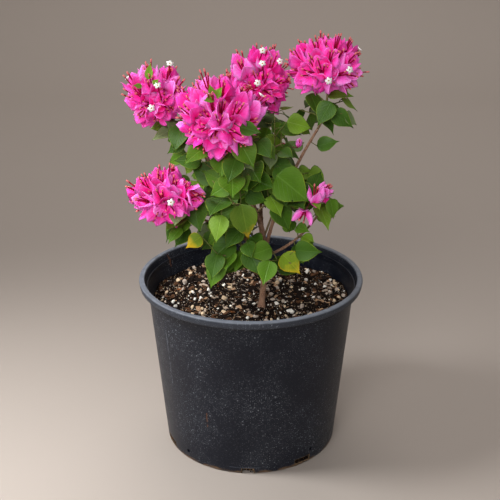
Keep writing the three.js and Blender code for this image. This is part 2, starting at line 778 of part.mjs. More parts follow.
function trunkSolid() {
  return toManifold(limbGeometry(trunk, TRUNK_SIDES, TRUNK_STEPS)).trimByPlane([0, 0, 1], MIX_TOP + GAP);
}

// What a limb that grows from the trunk is cut back by.
const trunkCutter = toManifold(limbGeometry(trunk, TRUNK_SIDES, TRUNK_STEPS, GAP));

// A bough grows from the trunk's axis and is cut back to the trunk's surface.
function boughSolid(bough) {
  return mainBody(toManifold(limbGeometry(bough, BOUGH_SIDES, BOUGH_STEPS)).subtract(trunkCutter));
}

// A mass's stem starts at the trunk's surface, or just past its bough's tip.
function stemSolid(stem) {
  const start = stem.onTrunkSide ? 0 : GAP / stem.curve.getLength();
  const curve = { getPoint: (t) => stem.curve.getPoint(start + (1 - start) * t) };
  const solid = toManifold(limbGeometry({ curve, radius: stem.radius }, STEM.sides, STEM.steps));
  if (!stem.onTrunkSide) return solid;
  return mainBody(solid.subtract(trunkCutter));
}

function twigSolid(curve) {
  return toManifold(limbGeometry({ curve, radius: taper(...TWIG.radii) }, TWIG.sides, TWIG.steps));
}

// A mass as one body: its stem, twigs, leaves and florets are joined.
function massSolid(mass) {
  const stem = stemOf(mass);
  const { twigs, leaves } = growLeaves(mass, stem);
  const parts = [stemSolid(stem), ...twigs.map(twigSolid), ...leaves.map(leafSolid)];
  if (mass.head) {
    const centre = vec(...mass.head.centre);
    parts.push(toManifold(new THREE.IcosahedronGeometry(HEAD.hubRadius, 0).translate(...mass.head.centre)));
    parts.push(...growFlorets(mass, stem).map((floret) => floretSolid(floret, centre)));
  }
  return mainBody(wasm.Manifold.union(parts).simplify(SEAM));
}

// -------------------------------------------------------------------- assembly

const plastic = { color: 0x25262a, roughness: 0.55, metalness: 0 };
const earth = { color: 0x3a2a20, roughness: 0.95, metalness: 0 };
const bark = { color: 0x8b5e42, roughness: 0.85, metalness: 0 };
const foliage = { color: 0x4a6b2a, roughness: 0.6, metalness: 0 };
const bloom = { color: 0xe0409f, roughness: 0.7, metalness: 0 };

const bush = new THREE.Group();
bush.name = 'bougainvillea_bush';

function addPart(name, solid, finish) {
  const mesh = new THREE.Mesh(toGeometry(solid), new THREE.MeshStandardMaterial(finish));
  mesh.name = name;
  bush.add(mesh);
}

addPart('pot', potSolid(), plastic);
addPart('potting_mix', mixSolid(), earth);
addPart('trunk', trunkSolid(), bark);
for (const bough of boughs) addPart(bough.name, boughSolid(bough), bark);
for (const mass of MASSES) addPart(mass.name, massSolid(mass), mass.head ? bloom : foliage);

export default bush;
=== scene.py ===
import math

import bmesh
import bpy
from mathutils import Matrix, Vector, noise


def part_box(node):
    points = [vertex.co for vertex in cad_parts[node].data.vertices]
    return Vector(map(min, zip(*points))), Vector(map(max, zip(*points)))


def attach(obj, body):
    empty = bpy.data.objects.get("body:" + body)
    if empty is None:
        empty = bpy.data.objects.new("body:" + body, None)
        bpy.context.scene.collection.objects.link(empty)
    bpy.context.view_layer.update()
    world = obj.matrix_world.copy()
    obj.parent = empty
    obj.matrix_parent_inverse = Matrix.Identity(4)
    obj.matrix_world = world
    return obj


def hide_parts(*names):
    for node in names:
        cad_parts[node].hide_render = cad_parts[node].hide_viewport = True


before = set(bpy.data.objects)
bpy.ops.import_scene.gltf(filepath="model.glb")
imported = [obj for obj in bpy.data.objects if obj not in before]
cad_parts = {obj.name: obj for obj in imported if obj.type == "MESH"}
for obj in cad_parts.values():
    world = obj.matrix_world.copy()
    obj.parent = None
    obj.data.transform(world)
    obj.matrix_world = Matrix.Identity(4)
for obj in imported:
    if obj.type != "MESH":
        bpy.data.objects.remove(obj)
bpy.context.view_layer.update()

bl_info = {
    "name": "Potted Bougainvillea",
    "version": (1, 0, 0),
    "blender": (4, 5, 0),
    "location": "3D View > Sidebar > Bush",
    "description": "Dresses a potted bougainvillea: pot, potting mix, wood, leaves and blooms",
    "category": "Object",
}

FULL_TURN = 2 * math.pi
GOLDEN_ANGLE = math.pi * (3 - math.sqrt(5))
UP = Vector((0, 0, 1))

POT_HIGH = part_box("pot")[1]
MIX_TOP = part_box("potting_mix")[1].z
POT_HEIGHT = POT_HIGH.z
RIM_RADIUS = POT_HIGH.x

# ------------------------------------------------------- the plant's named sizes
# Metres. The rule below is the source's own; here it also bears finer growth.

TRUNK_FOOT = 0.208  # height of the mix that the trunk stands in
TRUNK_STATIONS = [  # x, y, height above the mix, radius
    (0.0136, -0.0366, -0.0030, 0.0042),
    (0.0174, -0.0366, 0.0450, 0.0037),
    (0.0178, -0.0366, 0.0680, 0.0039),
    (0.0124, -0.0366, 0.1135, 0.0033),
    (-0.0080, -0.0346, 0.1660, 0.0028),
    (-0.0203, -0.0486, 0.2130, 0.0022),
]
FOOT_FLARE = {"height": 0.012, "extra": 0.0016}

BOUGHS = [  # name, place on the trunk, tip, bow of the middle, radii
    ("bough_right", 0.4, (0.084, -0.004, 0.438), (-0.012, -0.004, -0.004), (0.0025, 0.0016)),
    ("bough_upper_left", 0.8, (-0.072, -0.002, 0.413), (0.004, 0.010, -0.010), (0.0020, 0.0014)),
    ("bough_lower_left", 0.43, (-0.074, -0.038, 0.332), (0.000, 0.006, 0.006), (0.0018, 0.0014)),
    ("bough_low_right", 0.415, (0.086, -0.041, 0.338), (0.003, 0.004, -0.010), (0.0019, 0.0013)),
    ("bough_back", 0.56, (0.010, 0.034, 0.428), (0.000, 0.016, -0.016), (0.0021, 0.0015)),
    ("bough_back_left", 0.64, (-0.036, 0.040, 0.396), (-0.006, 0.010, -0.012), (0.0018, 0.0013)),
]

LIT_FRONT = 0.6  # how far leaves turn to the front, unless their mass says otherwise
FIRST_NODE = {"leafy": 0.2, "under_head": 0.1}  # place of the first leaf node on a stem

# Each mass: the limb it grows from and where, how many leaf nodes its stem has, the
# usual reach of a twig and length of a leaf, and the ellipsoid it keeps to. `seed` is
# its own growth's, `fine` that of its finer shoots, and `shoots` is how many they are.
# `last` is the place of its last node. A head adds florets round the stem's end; a
# leafy mass ends at `end`.
MASSES = [
    dict(name="bloom_top_right", carrier="bough_right", at=1,
         seed=98, fine=57, shoots=3, nodes=9, reach=0.030, leaf=0.031,
         space=((0.092, 0.008, 0.480), (0.066, 0.058, 0.085)),
         head=dict(centre=(0.093, 0.015, 0.515), half=(0.046, 0.042, 0.044),
                   florets=30, bract=0.024, seed=58)),
    dict(name="bloom_centre", carrier="trunk", at=1,
         seed=217, fine=57, shoots=3, nodes=6, reach=0.028, leaf=0.035,
         space=((-0.028, -0.068, 0.460), (0.064, 0.060, 0.080)),
         head=dict(centre=(-0.037, -0.075, 0.475), half=(0.054, 0.049, 0.051),
                   florets=38, bract=0.026, seed=45)),
    dict(name="bloom_back", carrier="bough_back", at=1, front=0.0,
         seed=33, fine=118, shoots=3, nodes=8, reach=0.030, leaf=0.034,
         space=((0.012, 0.048, 0.462), (0.060, 0.058, 0.080)),
         head=dict(centre=(0.011, 0.055, 0.487), half=(0.042, 0.040, 0.049),
                   florets=28, bract=0.024, seed=38)),
    dict(name="bloom_upper_left", carrier="bough_upper_left", at=1,
         seed=212, fine=77, shoots=3, nodes=8, reach=0.026, leaf=0.030,
         space=((-0.104, 0.003, 0.450), (0.060, 0.056, 0.082)),
         head=dict(centre=(-0.119, 0.005, 0.4795), half=(0.040, 0.038, 0.0465),
                   florets=28, bract=0.023, seed=34)),
    dict(name="bloom_lower_left", carrier="bough_lower_left", at=1,
         seed=59, fine=117, shoots=3, nodes=7, reach=0.028, leaf=0.034,
         space=((-0.098, -0.047, 0.346), (0.064, 0.060, 0.066)),
         head=dict(centre=(-0.106, -0.045, 0.368), half=(0.0465, 0.043, 0.040),
                   florets=32, bract=0.024, seed=4)),
    dict(name="bloom_low_right", carrier="bough_low_right", at=1, last=0.75,
         seed=245, fine=79, shoots=3, nodes=8, reach=0.026, leaf=0.032,
         space=((0.082, -0.046, 0.342), (0.056, 0.048, 0.060)),
         head=dict(centre=(0.080, -0.050, 0.372), half=(0.018, 0.019, 0.017),
                   florets=8, bract=0.018, seed=52)),
    dict(name="bloom_back_left", carrier="bough_back_left", at=1, front=0.0,
         seed=220, fine=108, shoots=8, nodes=8, reach=0.030, leaf=0.034,
         space=((-0.048, 0.058, 0.422), (0.056, 0.056, 0.066)),
         head=dict(centre=(-0.052, 0.066, 0.440), half=(0.035, 0.032, 0.033),
                   florets=16, bract=0.024, seed=22)),
    dict(name="leaves_front", carrier="trunk", at=0.6, end=(-0.022, -0.080, 0.366),
         seed=148, fine=21, shoots=15, nodes=10, reach=0.037, leaf=0.037,
         space=((-0.020, -0.074, 0.362), (0.058, 0.048, 0.052))),
    dict(name="leaves_mid_left", carrier="trunk", at=0.72, end=(-0.054, -0.030, 0.374),
         seed=154, fine=47, shoots=6, nodes=10, reach=0.035, leaf=0.035,
         space=((-0.046, -0.018, 0.372), (0.056, 0.056, 0.054))),
    dict(name="leaves_mid_right", carrier="trunk", at=0.66, end=(0.040, -0.066, 0.372),
         seed=226, fine=103, shoots=15, nodes=10, reach=0.035, leaf=0.038,
         space=((0.036, -0.060, 0.372), (0.056, 0.050, 0.050))),
    dict(name="leaves_high_right", carrier="trunk", at=0.86, end=(0.040, -0.024, 0.426),
         seed=39, fine=6, shoots=15, nodes=10, reach=0.035, leaf=0.032,
         space=((0.036, -0.022, 0.424), (0.050, 0.048, 0.044))),
    dict(name="leaves_low_left", carrier="trunk", at=0.36, end=(-0.040, -0.066, 0.290),
         seed=186, fine=29, shoots=3, nodes=9, reach=0.035, leaf=0.036,
         space=((-0.032, -0.064, 0.288), (0.062, 0.058, 0.048))),
    dict(name="leaves_low_right", carrier="trunk", at=0.32, end=(0.050, -0.074, 0.284),
         seed=21, fine=53, shoots=3, nodes=9, reach=0.033, leaf=0.034,
         space=((0.040, -0.072, 0.282), (0.062, 0.054, 0.046))),
    dict(name="leaves_back_right", carrier="trunk", at=0.52, end=(0.052, 0.030, 0.362), front=0.0,
         seed=66, fine=59, shoots=12, nodes=11, reach=0.043, leaf=0.037,
         space=((0.050, 0.028, 0.356), (0.060, 0.056, 0.062))),
    dict(name="leaves_back_low", carrier="trunk", at=0.4, end=(-0.024, 0.026, 0.318), front=0.0,
         seed=211, fine=9, shoots=12, nodes=11, reach=0.043, leaf=0.037,
         space=((-0.026, 0.020, 0.312), (0.060, 0.054, 0.052))),
]

# Leaves that stand out by their size or colour: root, tip and kind.
NAMED_LEAVES = {
    "leaves_mid_right": [((0.0306, -0.0850, 0.4032), (0.0720, -0.0920, 0.3711), "mid")],
    "leaves_front": [((-0.0119, -0.0850, 0.3662), (-0.0029, -0.0900, 0.3196), "tipped")],
    "leaves_low_right": [((0.0397, -0.0680, 0.2935), (0.0628, -0.0780, 0.2702), "turning")],
    "leaves_low_left": [((-0.0627, -0.0550, 0.3129), (-0.0829, -0.0620, 0.2997), "turning")],
    "bloom_centre": [((-0.0127, -0.1120, 0.4702), (0.0126, -0.1180, 0.4655), "dark")],
    "bloom_top_right": [((0.0840, -0.0060, 0.4170), (0.1111, -0.0120, 0.4266), "dark"),
                        ((0.0989, -0.0200, 0.4773), (0.0817, -0.0300, 0.4495), "dark"),
                        ((0.1010, -0.0140, 0.4632), (0.1296, -0.0220, 0.4461), "dark")],
}

# Small pale leaves among the bracts: root and tip.
YOUNG_LEAVES = [
    ((-0.0437, -0.1050, 0.5032), (-0.0467, -0.1120, 0.5200)),
    ((-0.0425, -0.1070, 0.5025), (-0.0525, -0.1220, 0.5042)),
    ((-0.0414, -0.1050, 0.5032), (-0.0325, -0.1140, 0.5175)),
    ((-0.1259, -0.0220, 0.5060), (-0.1227, -0.0180, 0.5260)),
    ((-0.1330, -0.0290, 0.4991), (-0.1429, -0.0370, 0.5021)),
    ((-0.1198, -0.0260, 0.5000), (-0.1126, -0.0360, 0.5090)),
]

# Florets that stand alone: the mass they grow in, root, tip, opening and roll.
SINGLE_FLORETS = [
    ("bloom_lower_left", (-0.0753, -0.0700, 0.3790), (-0.0573, -0.0800, 0.3720), 0.75, 0.9),
    ("bloom_low_right", (0.0771, -0.0780, 0.3655), (0.0805, -0.0830, 0.3895), 0.40, 1.2),
    ("bloom_low_right", (0.0665, -0.0740, 0.3537), (0.0590, -0.0900, 0.3440), 0.80, 0.4),
    ("leaves_high_right", (0.0595, -0.0120, 0.4165), (0.0618, -0.0140, 0.4290), 0.14, 0.0),
]

# Places in a head's flank that no leaf covers, and how far round them.
OPEN_VIEWS = [((-0.0640, -0.0600, 0.3770), 0.010)]

# Where flowers stand open towards the front.
OPEN_FLOWERS = [
    (-0.1135, -0.0310, 0.4997), (-0.1214, -0.0350, 0.4733), (-0.1000, -0.0070, 0.5210),
    (-0.0851, -0.0184, 0.4817), (0.0145, 0.0310, 0.5300), (0.0144, 0.0200, 0.5159),
    (0.0362, 0.0300, 0.5165), (0.0083, 0.0130, 0.4931), (0.1195, -0.0218, 0.5171),
    (0.0945, -0.0285, 0.5057), (-0.0970, -0.0895, 0.3702),
]

# Boughs that bear leaves of their own between the masses.
LEAFY_LIMBS = [
    dict(name="bough_right", run=(0.42, 0.98), shoots=5, fine=74, reach=0.026, leaf=0.036,
         space=((0.068, -0.012, 0.395), (0.060, 0.054, 0.066))),
    dict(name="bough_upper_left", run=(0.3, 0.98), shoots=5, fine=36, reach=0.024, leaf=0.034,
         space=((-0.078, -0.004, 0.395), (0.058, 0.050, 0.050))),
    dict(name="bough_lower_left", run=(0.3, 0.98), shoots=9, fine=95, reach=0.022, leaf=0.034,
         space=((-0.056, -0.042, 0.318), (0.056, 0.046, 0.046))),
    dict(name="bough_low_right", run=(0.3, 0.98), shoots=5, fine=115, reach=0.020, leaf=0.027,
         space=((0.062, -0.042, 0.318), (0.052, 0.042, 0.044))),
    dict(name="bough_back", run=(0.3, 0.98), shoots=20, fine=17, reach=0.024, leaf=0.035,
         space=((0.006, 0.020, 0.395), (0.055, 0.050, 0.055))),
    dict(name="trunk", run=(0.45, 0.98), shoots=9, fine=9, reach=0.026, leaf=0.036,
         space=((-0.002, -0.050, 0.375), (0.066, 0.054, 0.062))),
]
FINE = {"run": (0.15, 0.98), "on_twig": 0.5, "reach": (0.35, 0.95), "leaf": (0.75, 1.12),
        "crowding": 0.32, "front": 0.5}

LEAF = {"half_width": 0.36, "fold": 0.3, "droop": 0.12, "petiole": 0.24}
LEAF_CORNERS = ((0.0, 0.0), (0.10, 0.52), (0.36, 1.0), (0.70, 0.60), (1.0, 0.0))
BRACT = {"half_width": 0.34, "fold": 0.25, "droop": 0.12}
BRACT_CORNERS = ((0.0, 0.0), (0.22, 0.7), (0.5, 1.0), (0.78, 0.66), (1.0, 0.0))
CELL_MARGIN = 0.025  # how much nearer its own mass than any other a leaf stays, as a rank
LIMB_CLEARANCE = 0.0025  # air round limbs and stems
LOWEST_LEAF = TRUNK_FOOT + 0.006
CROWDING = 0.42  # how near two leaves' middles may come, in shares of their mean length
LEAF_REACH, BRACT_REACH = 1.1, 1.3  # how far out of its mass's space each may reach, as a rank
STEM = {"trunk_root": 0.0015, "tip": 0.00125, "lift": 0.14, "follow": 0.45}
TWIG = {"lift": 0.04, "leaf_places": (0.55, 1.0)}
BARE_NODES = 3  # one node in so many bears no twig
HEAD = {"tips": 0.85, "innermost": 0.0065, "bare_cosine": 0.86}
OUTER_SHELL = {"seed": 0, "share": 1.0, "surface": (0.88, 1.08), "size": 1.0}
INNER_SHELL = {"seed": 500, "share": 0.7, "surface": (0.72, 0.92), "size": 0.9}
CUP = {"upright": 0.75, "closing": 0.42, "lowest": -0.45, "highest": 0.45}
HABIT = {"onward": 0.55, "outward": 0.4, "sag": 0.6, "chance": 0.9,
         "face_out": 0.5, "face_up": 0.7, "tilt": 0.6}
SPREAD = {"leaf": (0.75, 1.25), "end_leaf": (0.85, 1.15), "twig": (0.6, 1.4), "floret": (0.85, 1.15)}
CUP_OPENING = (0.5, 0.9)  # angle from a floret's axis to its bracts
TEST_STRETCHES = 12  # straight stretches that stand for a limb where room is tested
PLANT_AXIS = Vector((0.0, -0.025, 0.0))
FRONT = Vector((0.0, -0.93, 0.37)).normalized()


# --------------------------------------------------------------- small helpers

def random_stream(seed):
    """A repeatable stream of numbers from 0 to 1."""
    state = seed & 0xFFFFFFFF

    def draw():
        nonlocal state
        state = (state + 0x6D2B79F5) & 0xFFFFFFFF
        t = state
        t = ((t ^ (t >> 15)) * (t | 1)) & 0xFFFFFFFF
        t ^= (t + (((t ^ (t >> 7)) * (t | 61)) & 0xFFFFFFFF)) & 0xFFFFFFFF
        return ((t ^ (t >> 14)) & 0xFFFFFFFF) / 4294967296.0

    return draw


def between(ends, share):
    return ends[0] + (ends[1] - ends[0]) * share


def scattered(draw):
    return Vector((draw() - 0.5, draw() - 0.5, draw() - 0.5))


def along_table(table, t):
    """The value of a table of (place, value) at t, on straight lines between its rows."""
    for (t0, v0), (t1, v1) in zip(table, table[1:]):
        if t <= t1:
            return v0 + (v1 - v0) * (t - t0) / (t1 - t0)
    return table[-1][1]


def clear_selection():
    if bpy.context.object and bpy.context.object.mode != "OBJECT":
        bpy.ops.object.mode_set(mode="OBJECT")
    bpy.ops.object.select_all(action="DESELECT")


def select_only(piece):
    clear_selection()
    piece.select_set(True)
    bpy.context.view_layer.objects.active = piece


def apply_modifier(piece, kind, **settings):
    select_only(piece)
    modifier = piece.modifiers.new(kind.lower(), kind)
    for key, value in settings.items():
        setattr(modifier, key, value)
    bpy.ops.object.modifier_apply(modifier=modifier.name)


def settle(piece):
    """Puts a finished piece's place into its mesh."""
    select_only(piece)
    bpy.ops.object.transform_apply(location=True, rotation=True, scale=True)


def smooth_by_angle(piece, degrees=35):
    select_only(piece)
    bpy.ops.object.shade_smooth_by_angle(angle=math.radians(degrees))


def adopt(piece, slot, *nodes):
    """The piece joins the object and stands for these solids."""
    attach(piece, "root")
    if nodes:
        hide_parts(*nodes)


class MeshStore:
    """Gathers many small shapes into one mesh with a material for each face."""

    def __init__(self):
        self.points, self.faces, self.kinds, self.uvs = [], [], [], []

    def add(self, points, faces, kinds, uv=None):
        base = len(self.points)
        self.points.extend(points)
        self.faces.extend([tuple(base + i for i in face) for face in faces])
        self.kinds.extend([kinds] * len(faces) if isinstance(kinds, int) else kinds)
        for face in faces:
            self.uvs.extend([uv[i] for i in face] if uv else [(0.0, 0.0)] * len(face))

    def piece(self, name, materials, smooth=True):
        mesh = bpy.data.meshes.new(name)
        mesh.from_pydata([tuple(p) for p in self.points], [], self.faces)
        for material in materials:
            mesh.materials.append(material)
        mesh.polygons.foreach_set("material_index", self.kinds)
        layer = mesh.uv_layers.new(name="shape")
        layer.data.foreach_set("uv", [c for uv in self.uvs for c in uv])
        mesh.polygons.foreach_set("use_smooth", [smooth] * len(mesh.polygons))
        mesh.update()
        piece = bpy.data.objects.new(name, mesh)
        bpy.context.scene.collection.objects.link(piece)
        return piece


# ----------------------------------------------------------------------- limbs

def curve_through(points, t):
    """A smooth curve through the points, t from 0 to 1 over its whole run."""
    last = len(points) - 1
    place = min(max(t, 0.0), 1.0) * last
    i = min(int(place), last - 1)
    w = place - i
    p1, p2 = points[i], points[i + 1]
    p0 = points[i - 1] if i > 0 else p1 * 2 - p2
    p3 = points[i + 2] if i + 2 <= last else p2 * 2 - p1
    return (p1 + (p2 - p0) * (0.5 * w) + (p0 * 2 - p1 * 5 + p2 * 4 - p3) * (0.5 * w * w)
            + (p1 * 3 - p0 - p2 * 3 + p3) * (0.5 * w * w * w))


def bowed(start, middle, end):
    """A curve that leaves its start towards the middle point and comes to its end."""
    return lambda t: start * ((1 - t) ** 2) + middle * (2 * t * (1 - t)) + end * (t * t)


def taper(start, end):
    return lambda t: start + (end - start) * t


def trunk_point(t):
    """A place on the trunk's middle line, t from the mix to the top."""
    return curve_through([Vector((x, y, TRUNK_FOOT + h)) for x, y, h, _ in TRUNK_STATIONS], t)


def trunk_radius(t):
    """The radius of the trunk, wider at its foot."""
    last = len(TRUNK_STATIONS) - 1
    place = min(max(t, 0.0), 1.0) * last
    i = min(int(place), last - 1)
    radius = between((TRUNK_STATIONS[i][3], TRUNK_STATIONS[i + 1][3]), place - i)
    height = place * (TRUNK_STATIONS[1][2] - TRUNK_STATIONS[0][2])
    return radius + FOOT_FLARE["extra"] * max(0.0, 1 - height / FOOT_FLARE["height"]) ** 2


class Limb:
    """A trunk, bough or stem: its middle line and its radius along it."""

    def __init__(self, name, curve, radius):
        self.name = name
        self.curve = curve
        self.radius = radius

    def heading(self):
        return (self.curve(1.0) - self.curve(0.98)).normalized()

    def stretches(self):
        n = TEST_STRETCHES
        return [(self.name, self.curve(i / n), self.curve((i + 1) / n), self.radius(i / n)) for i in range(n)]


def make_limbs():
    """The trunk and the boughs, by name."""
    limbs = {"trunk": Limb("trunk", trunk_point, trunk_radius)}
    for name, place, tip, bow, radii in BOUGHS:
        start, end = trunk_point(place), Vector(tip)
        middle = (start + end) * 0.5 + Vector(bow) * 2
        limbs[name] = Limb(name, bowed(start, middle, end), taper(*radii))
    return limbs


def stem_of(mass, limbs):
    """The stem a mass grows on, and whether it springs from the trunk's side."""
    from_side = mass["carrier"] == "trunk" and mass["at"] < 1
    carrier = limbs[mass["carrier"]]
    start = trunk_point(mass["at"]) if from_side else carrier.curve(1.0)
    end = Vector(mass["head"]["centre"] if "head" in mass else mass["end"])
    length = (end - start).length
    if from_side:
        middle = (start + end) * 0.5 + UP * (length * STEM["lift"])
    else:
        middle = start + carrier.heading() * (length * STEM["follow"])
    root = STEM["trunk_root"] if from_side else carrier.radius(1.0)
    stem = Limb(mass["name"], bowed(start, middle, end), taper(root, STEM["tip"]))
    stem.length = length
    return stem


def perpendicular(direction):
    reference = UP if abs(direction.z) < 0.9 else Vector((1, 0, 0))
    return direction.cross(reference).normalized()


def sideways(axis, angle):
    """A direction at right angles to an axis, turned round it by an angle."""
    first = perpendicular(axis)
    return first * math.cos(angle) + axis.cross(first) * math.sin(angle)


def frames_along(curve, steps, start=0.0, end=1.0):
    """Origins and cross directions along a curve, carried on without twist."""
    frames = []
    across = None
    for i in range(steps + 1):
        t = start + (end - start) * i / steps
        tangent = (curve(min(t + 0.01, 1.0)) - curve(max(t - 0.01, 0.0))).normalized()
        if across is None:
            across = perpendicular(tangent)
        across = (across - tangent * across.dot(tangent)).normalized()
        frames.append((curve(t), across, tangent.cross(across), tangent))
    return frames


def add_tube(store, frames, radii, sides, kind, caps=(True, True), relief=None):
    """A tube along frames. `relief` gives the extra radius at a side and a place."""
    points, uvs, faces = [], [], []
    run = 0.0
    for i, ((origin, a, b, _), radius) in enumerate(zip(frames, radii)):
        if i:
            run += (origin - frames[i - 1][0]).length
        for j in range(sides):
            turn = FULL_TURN * j / sides
            extra = relief(j, origin) if relief else 0.0
            points.append(origin + (a * math.cos(turn) + b * math.sin(turn)) * (radius + extra))
            uvs.append((j / sides, run))
    for i in range(len(frames) - 1):
        for j in range(sides):
            k = (j + 1) % sides
            faces.append((i * sides + j, i * sides + k, (i + 1) * sides + k, (i + 1) * sides + j))
    if caps[0]:
        faces.append(tuple(reversed(range(sides))))
    if caps[1]:
        faces.append(tuple((len(frames) - 1) * sides + j for j in range(sides)))
    store.add(points, faces, kind, uvs)


# ------------------------------------------------------ blades and their room

def blade_surface(blade, shape):
    """A blade's surface: t from root to tip, u from edge to edge."""
    across = blade["direction"].cross(blade["face"])
    length = blade["length"]
    width = length * shape["half_width"]

    def point(t, u):
        rise = abs(u) * width * shape["fold"] - t * t * length * shape["droop"]
        return blade["root"] + blade["direction"] * (t * length) + across * (u * width) + blade["face"] * rise

    return point


def blade_outline(blade, shape, corners):
    """Points round the edge of a blade."""
    point = blade_surface(blade, shape)
    right = [point(t, u) for t, u in corners]
    left = [point(t, -u) for t, u in reversed(corners[1:-1])]
    return right + left


def bracts_of(floret):
    """The three bracts of a floret open like a cup round its axis."""
    cos, sin = math.cos(floret["opening"]), math.sin(floret["opening"])
    bracts = []
    for i in range(3):
        side = sideways(floret["axis"], floret["roll"] + i * FULL_TURN / 3)
        direction = (floret["axis"] * cos + side * sin).normalized()
        face = floret["axis"] * sin - side * cos
        bracts.append(dict(root=floret["root"], direction=direction, face=face, length=floret["length"]))
    return bracts


def rank_in(mass, point):
    """How far out a point lies in a mass's space: 1 on its surface."""
    centre, half = mass["space"]
    return math.sqrt(sum(((point[i] - centre[i]) / half[i]) ** 2 for i in range(3)))


def in_own_space(mass, point, reach=1.0):
    """Whether a point lies in a mass's space and clear of the others."""
    own = rank_in(mass, point)
    if own > reach or point.z < LOWEST_LEAF:
        return False
    return all(other is mass or rank_in(other, point) > own + CELL_MARGIN for other in MASSES)


class Room:
    """Where growth may go: each mass's space, and air round every limb and stem."""

    def __init__(self, limbs):
        owners = list(limbs.values()) + [stem_of(mass, limbs) for mass in MASSES]
        self.stretches = [stretch for limb in owners for stretch in limb.stretches()]

    @staticmethod
    def air(stretch, point):
        _, start, end, radius = stretch
        line = end - start
        share = max(0.0, min(1.0, (point - start).dot(line) / line.dot(line)))
        return (point - (start + line * share)).length - radius

    def clear(self, points, owner, reach):
        middle = points[len(points) // 2]
        near = [s for s in self.stretches if s[0] != owner and self.air(s, middle) < reach + LIMB_CLEARANCE]
        return all(self.air(s, p) > LIMB_CLEARANCE for s in near for p in points)

    def leaf_fits(self, leaf, mass):
        outline = blade_outline(leaf, LEAF, LEAF_CORNERS)
        return (all(in_own_space(mass, p, LEAF_REACH) for p in outline)
                and self.free_of_limbs(leaf, mass["name"]))

    def free_of_limbs(self, leaf, owner):
        point = blade_surface(leaf, LEAF)
        samples = [point(i / 8, along_table(LEAF_CORNERS, i / 8) * u)
                   for i in range(9) for u in (-1, -0.5, 0, 0.5, 1)]
        samples += [leaf["at"] + (leaf["root"] - leaf["at"]) * t for t in (0.25, 0.5, 0.75)]
        return self.clear(samples, owner, leaf["length"])

    def twig_fits(self, curve, mass, reach):
        points = [curve(i / 5) for i in range(1, 6)]
        return all(in_own_space(mass, p) for p in points) and self.clear(points, mass["name"], reach)

    def floret_fits(self, floret, mass):
        points = [p for bract in bracts_of(floret) for p in blade_outline(bract, BRACT, BRACT_CORNERS)]
        return (all(in_own_space(mass, p, BRACT_REACH) for p in points)
                and self.clear(points, mass["name"], floret["length"]))


# ---------------------------------------------------------------------- growth

def square_to(face, direction):
    """A face turned square to a direction."""
    return (face - direction * face.dot(direction)).normalized()


def grow_leaf(mass, at, heading, length, draw):
    """A leaf whose tip points out and down and whose face turns up and to the light."""
    root = at + heading * (length * LEAF["petiole"])
    flat = Vector((root.x - PLANT_AXIS.x, root.y - PLANT_AXIS.y, 0.0))
    outward = flat.normalized()
    chance = scattered(draw) * HABIT["chance"]
    direction = chance + heading * HABIT["onward"] + outward * HABIT["outward"] - UP * HABIT["sag"]
    direction.normalize()
    face = scattered(draw) * HABIT["tilt"] + outward * HABIT["face_out"] + UP * HABIT["face_up"]
    face += Vector((0, -1, 0)) * mass.get("front", LIT_FRONT)
    return dict(at=at, way=heading, root=root, direction=direction, face=square_to(face, direction),
                length=length, shade=draw(), kind=None)


def middle_of(leaf):
    """The middle of a leaf, where its area lies."""
    return leaf["root"] + leaf["direction"] * (leaf["length"] * 0.45)


def crowded(leaf, leaves, crowding=CROWDING):
    """Whether a leaf stands too near one that is there."""
    return any((middle_of(leaf) - middle_of(other)).length
               < (leaf["length"] + other["length"]) * 0.5 * crowding for other in leaves)


def named_leaves(mass, stem, room):
    """The leaves that stand out, on the nearest place of stem or limb."""
    places = [stem.curve((i + 8) / 20) for i in range(13)]
    places += [start for name, start, _, _ in room.stretches if name == mass["carrier"] != "trunk"]
    leaves = []
    for root, tip, kind in NAMED_LEAVES.get(mass["name"], []):
        root, tip = Vector(root), Vector(tip)
        direction = (tip - root).normalized()
        at = min(places, key=lambda place: (place - root).length)
        leaves.append(dict(at=at, way=(root - at).normalized(), root=root, direction=direction,
                           face=square_to(Vector((-0.1, -0.75, 0.65)), direction),
                           length=(tip - root).length, shade=0.5, kind=kind))
    return leaves


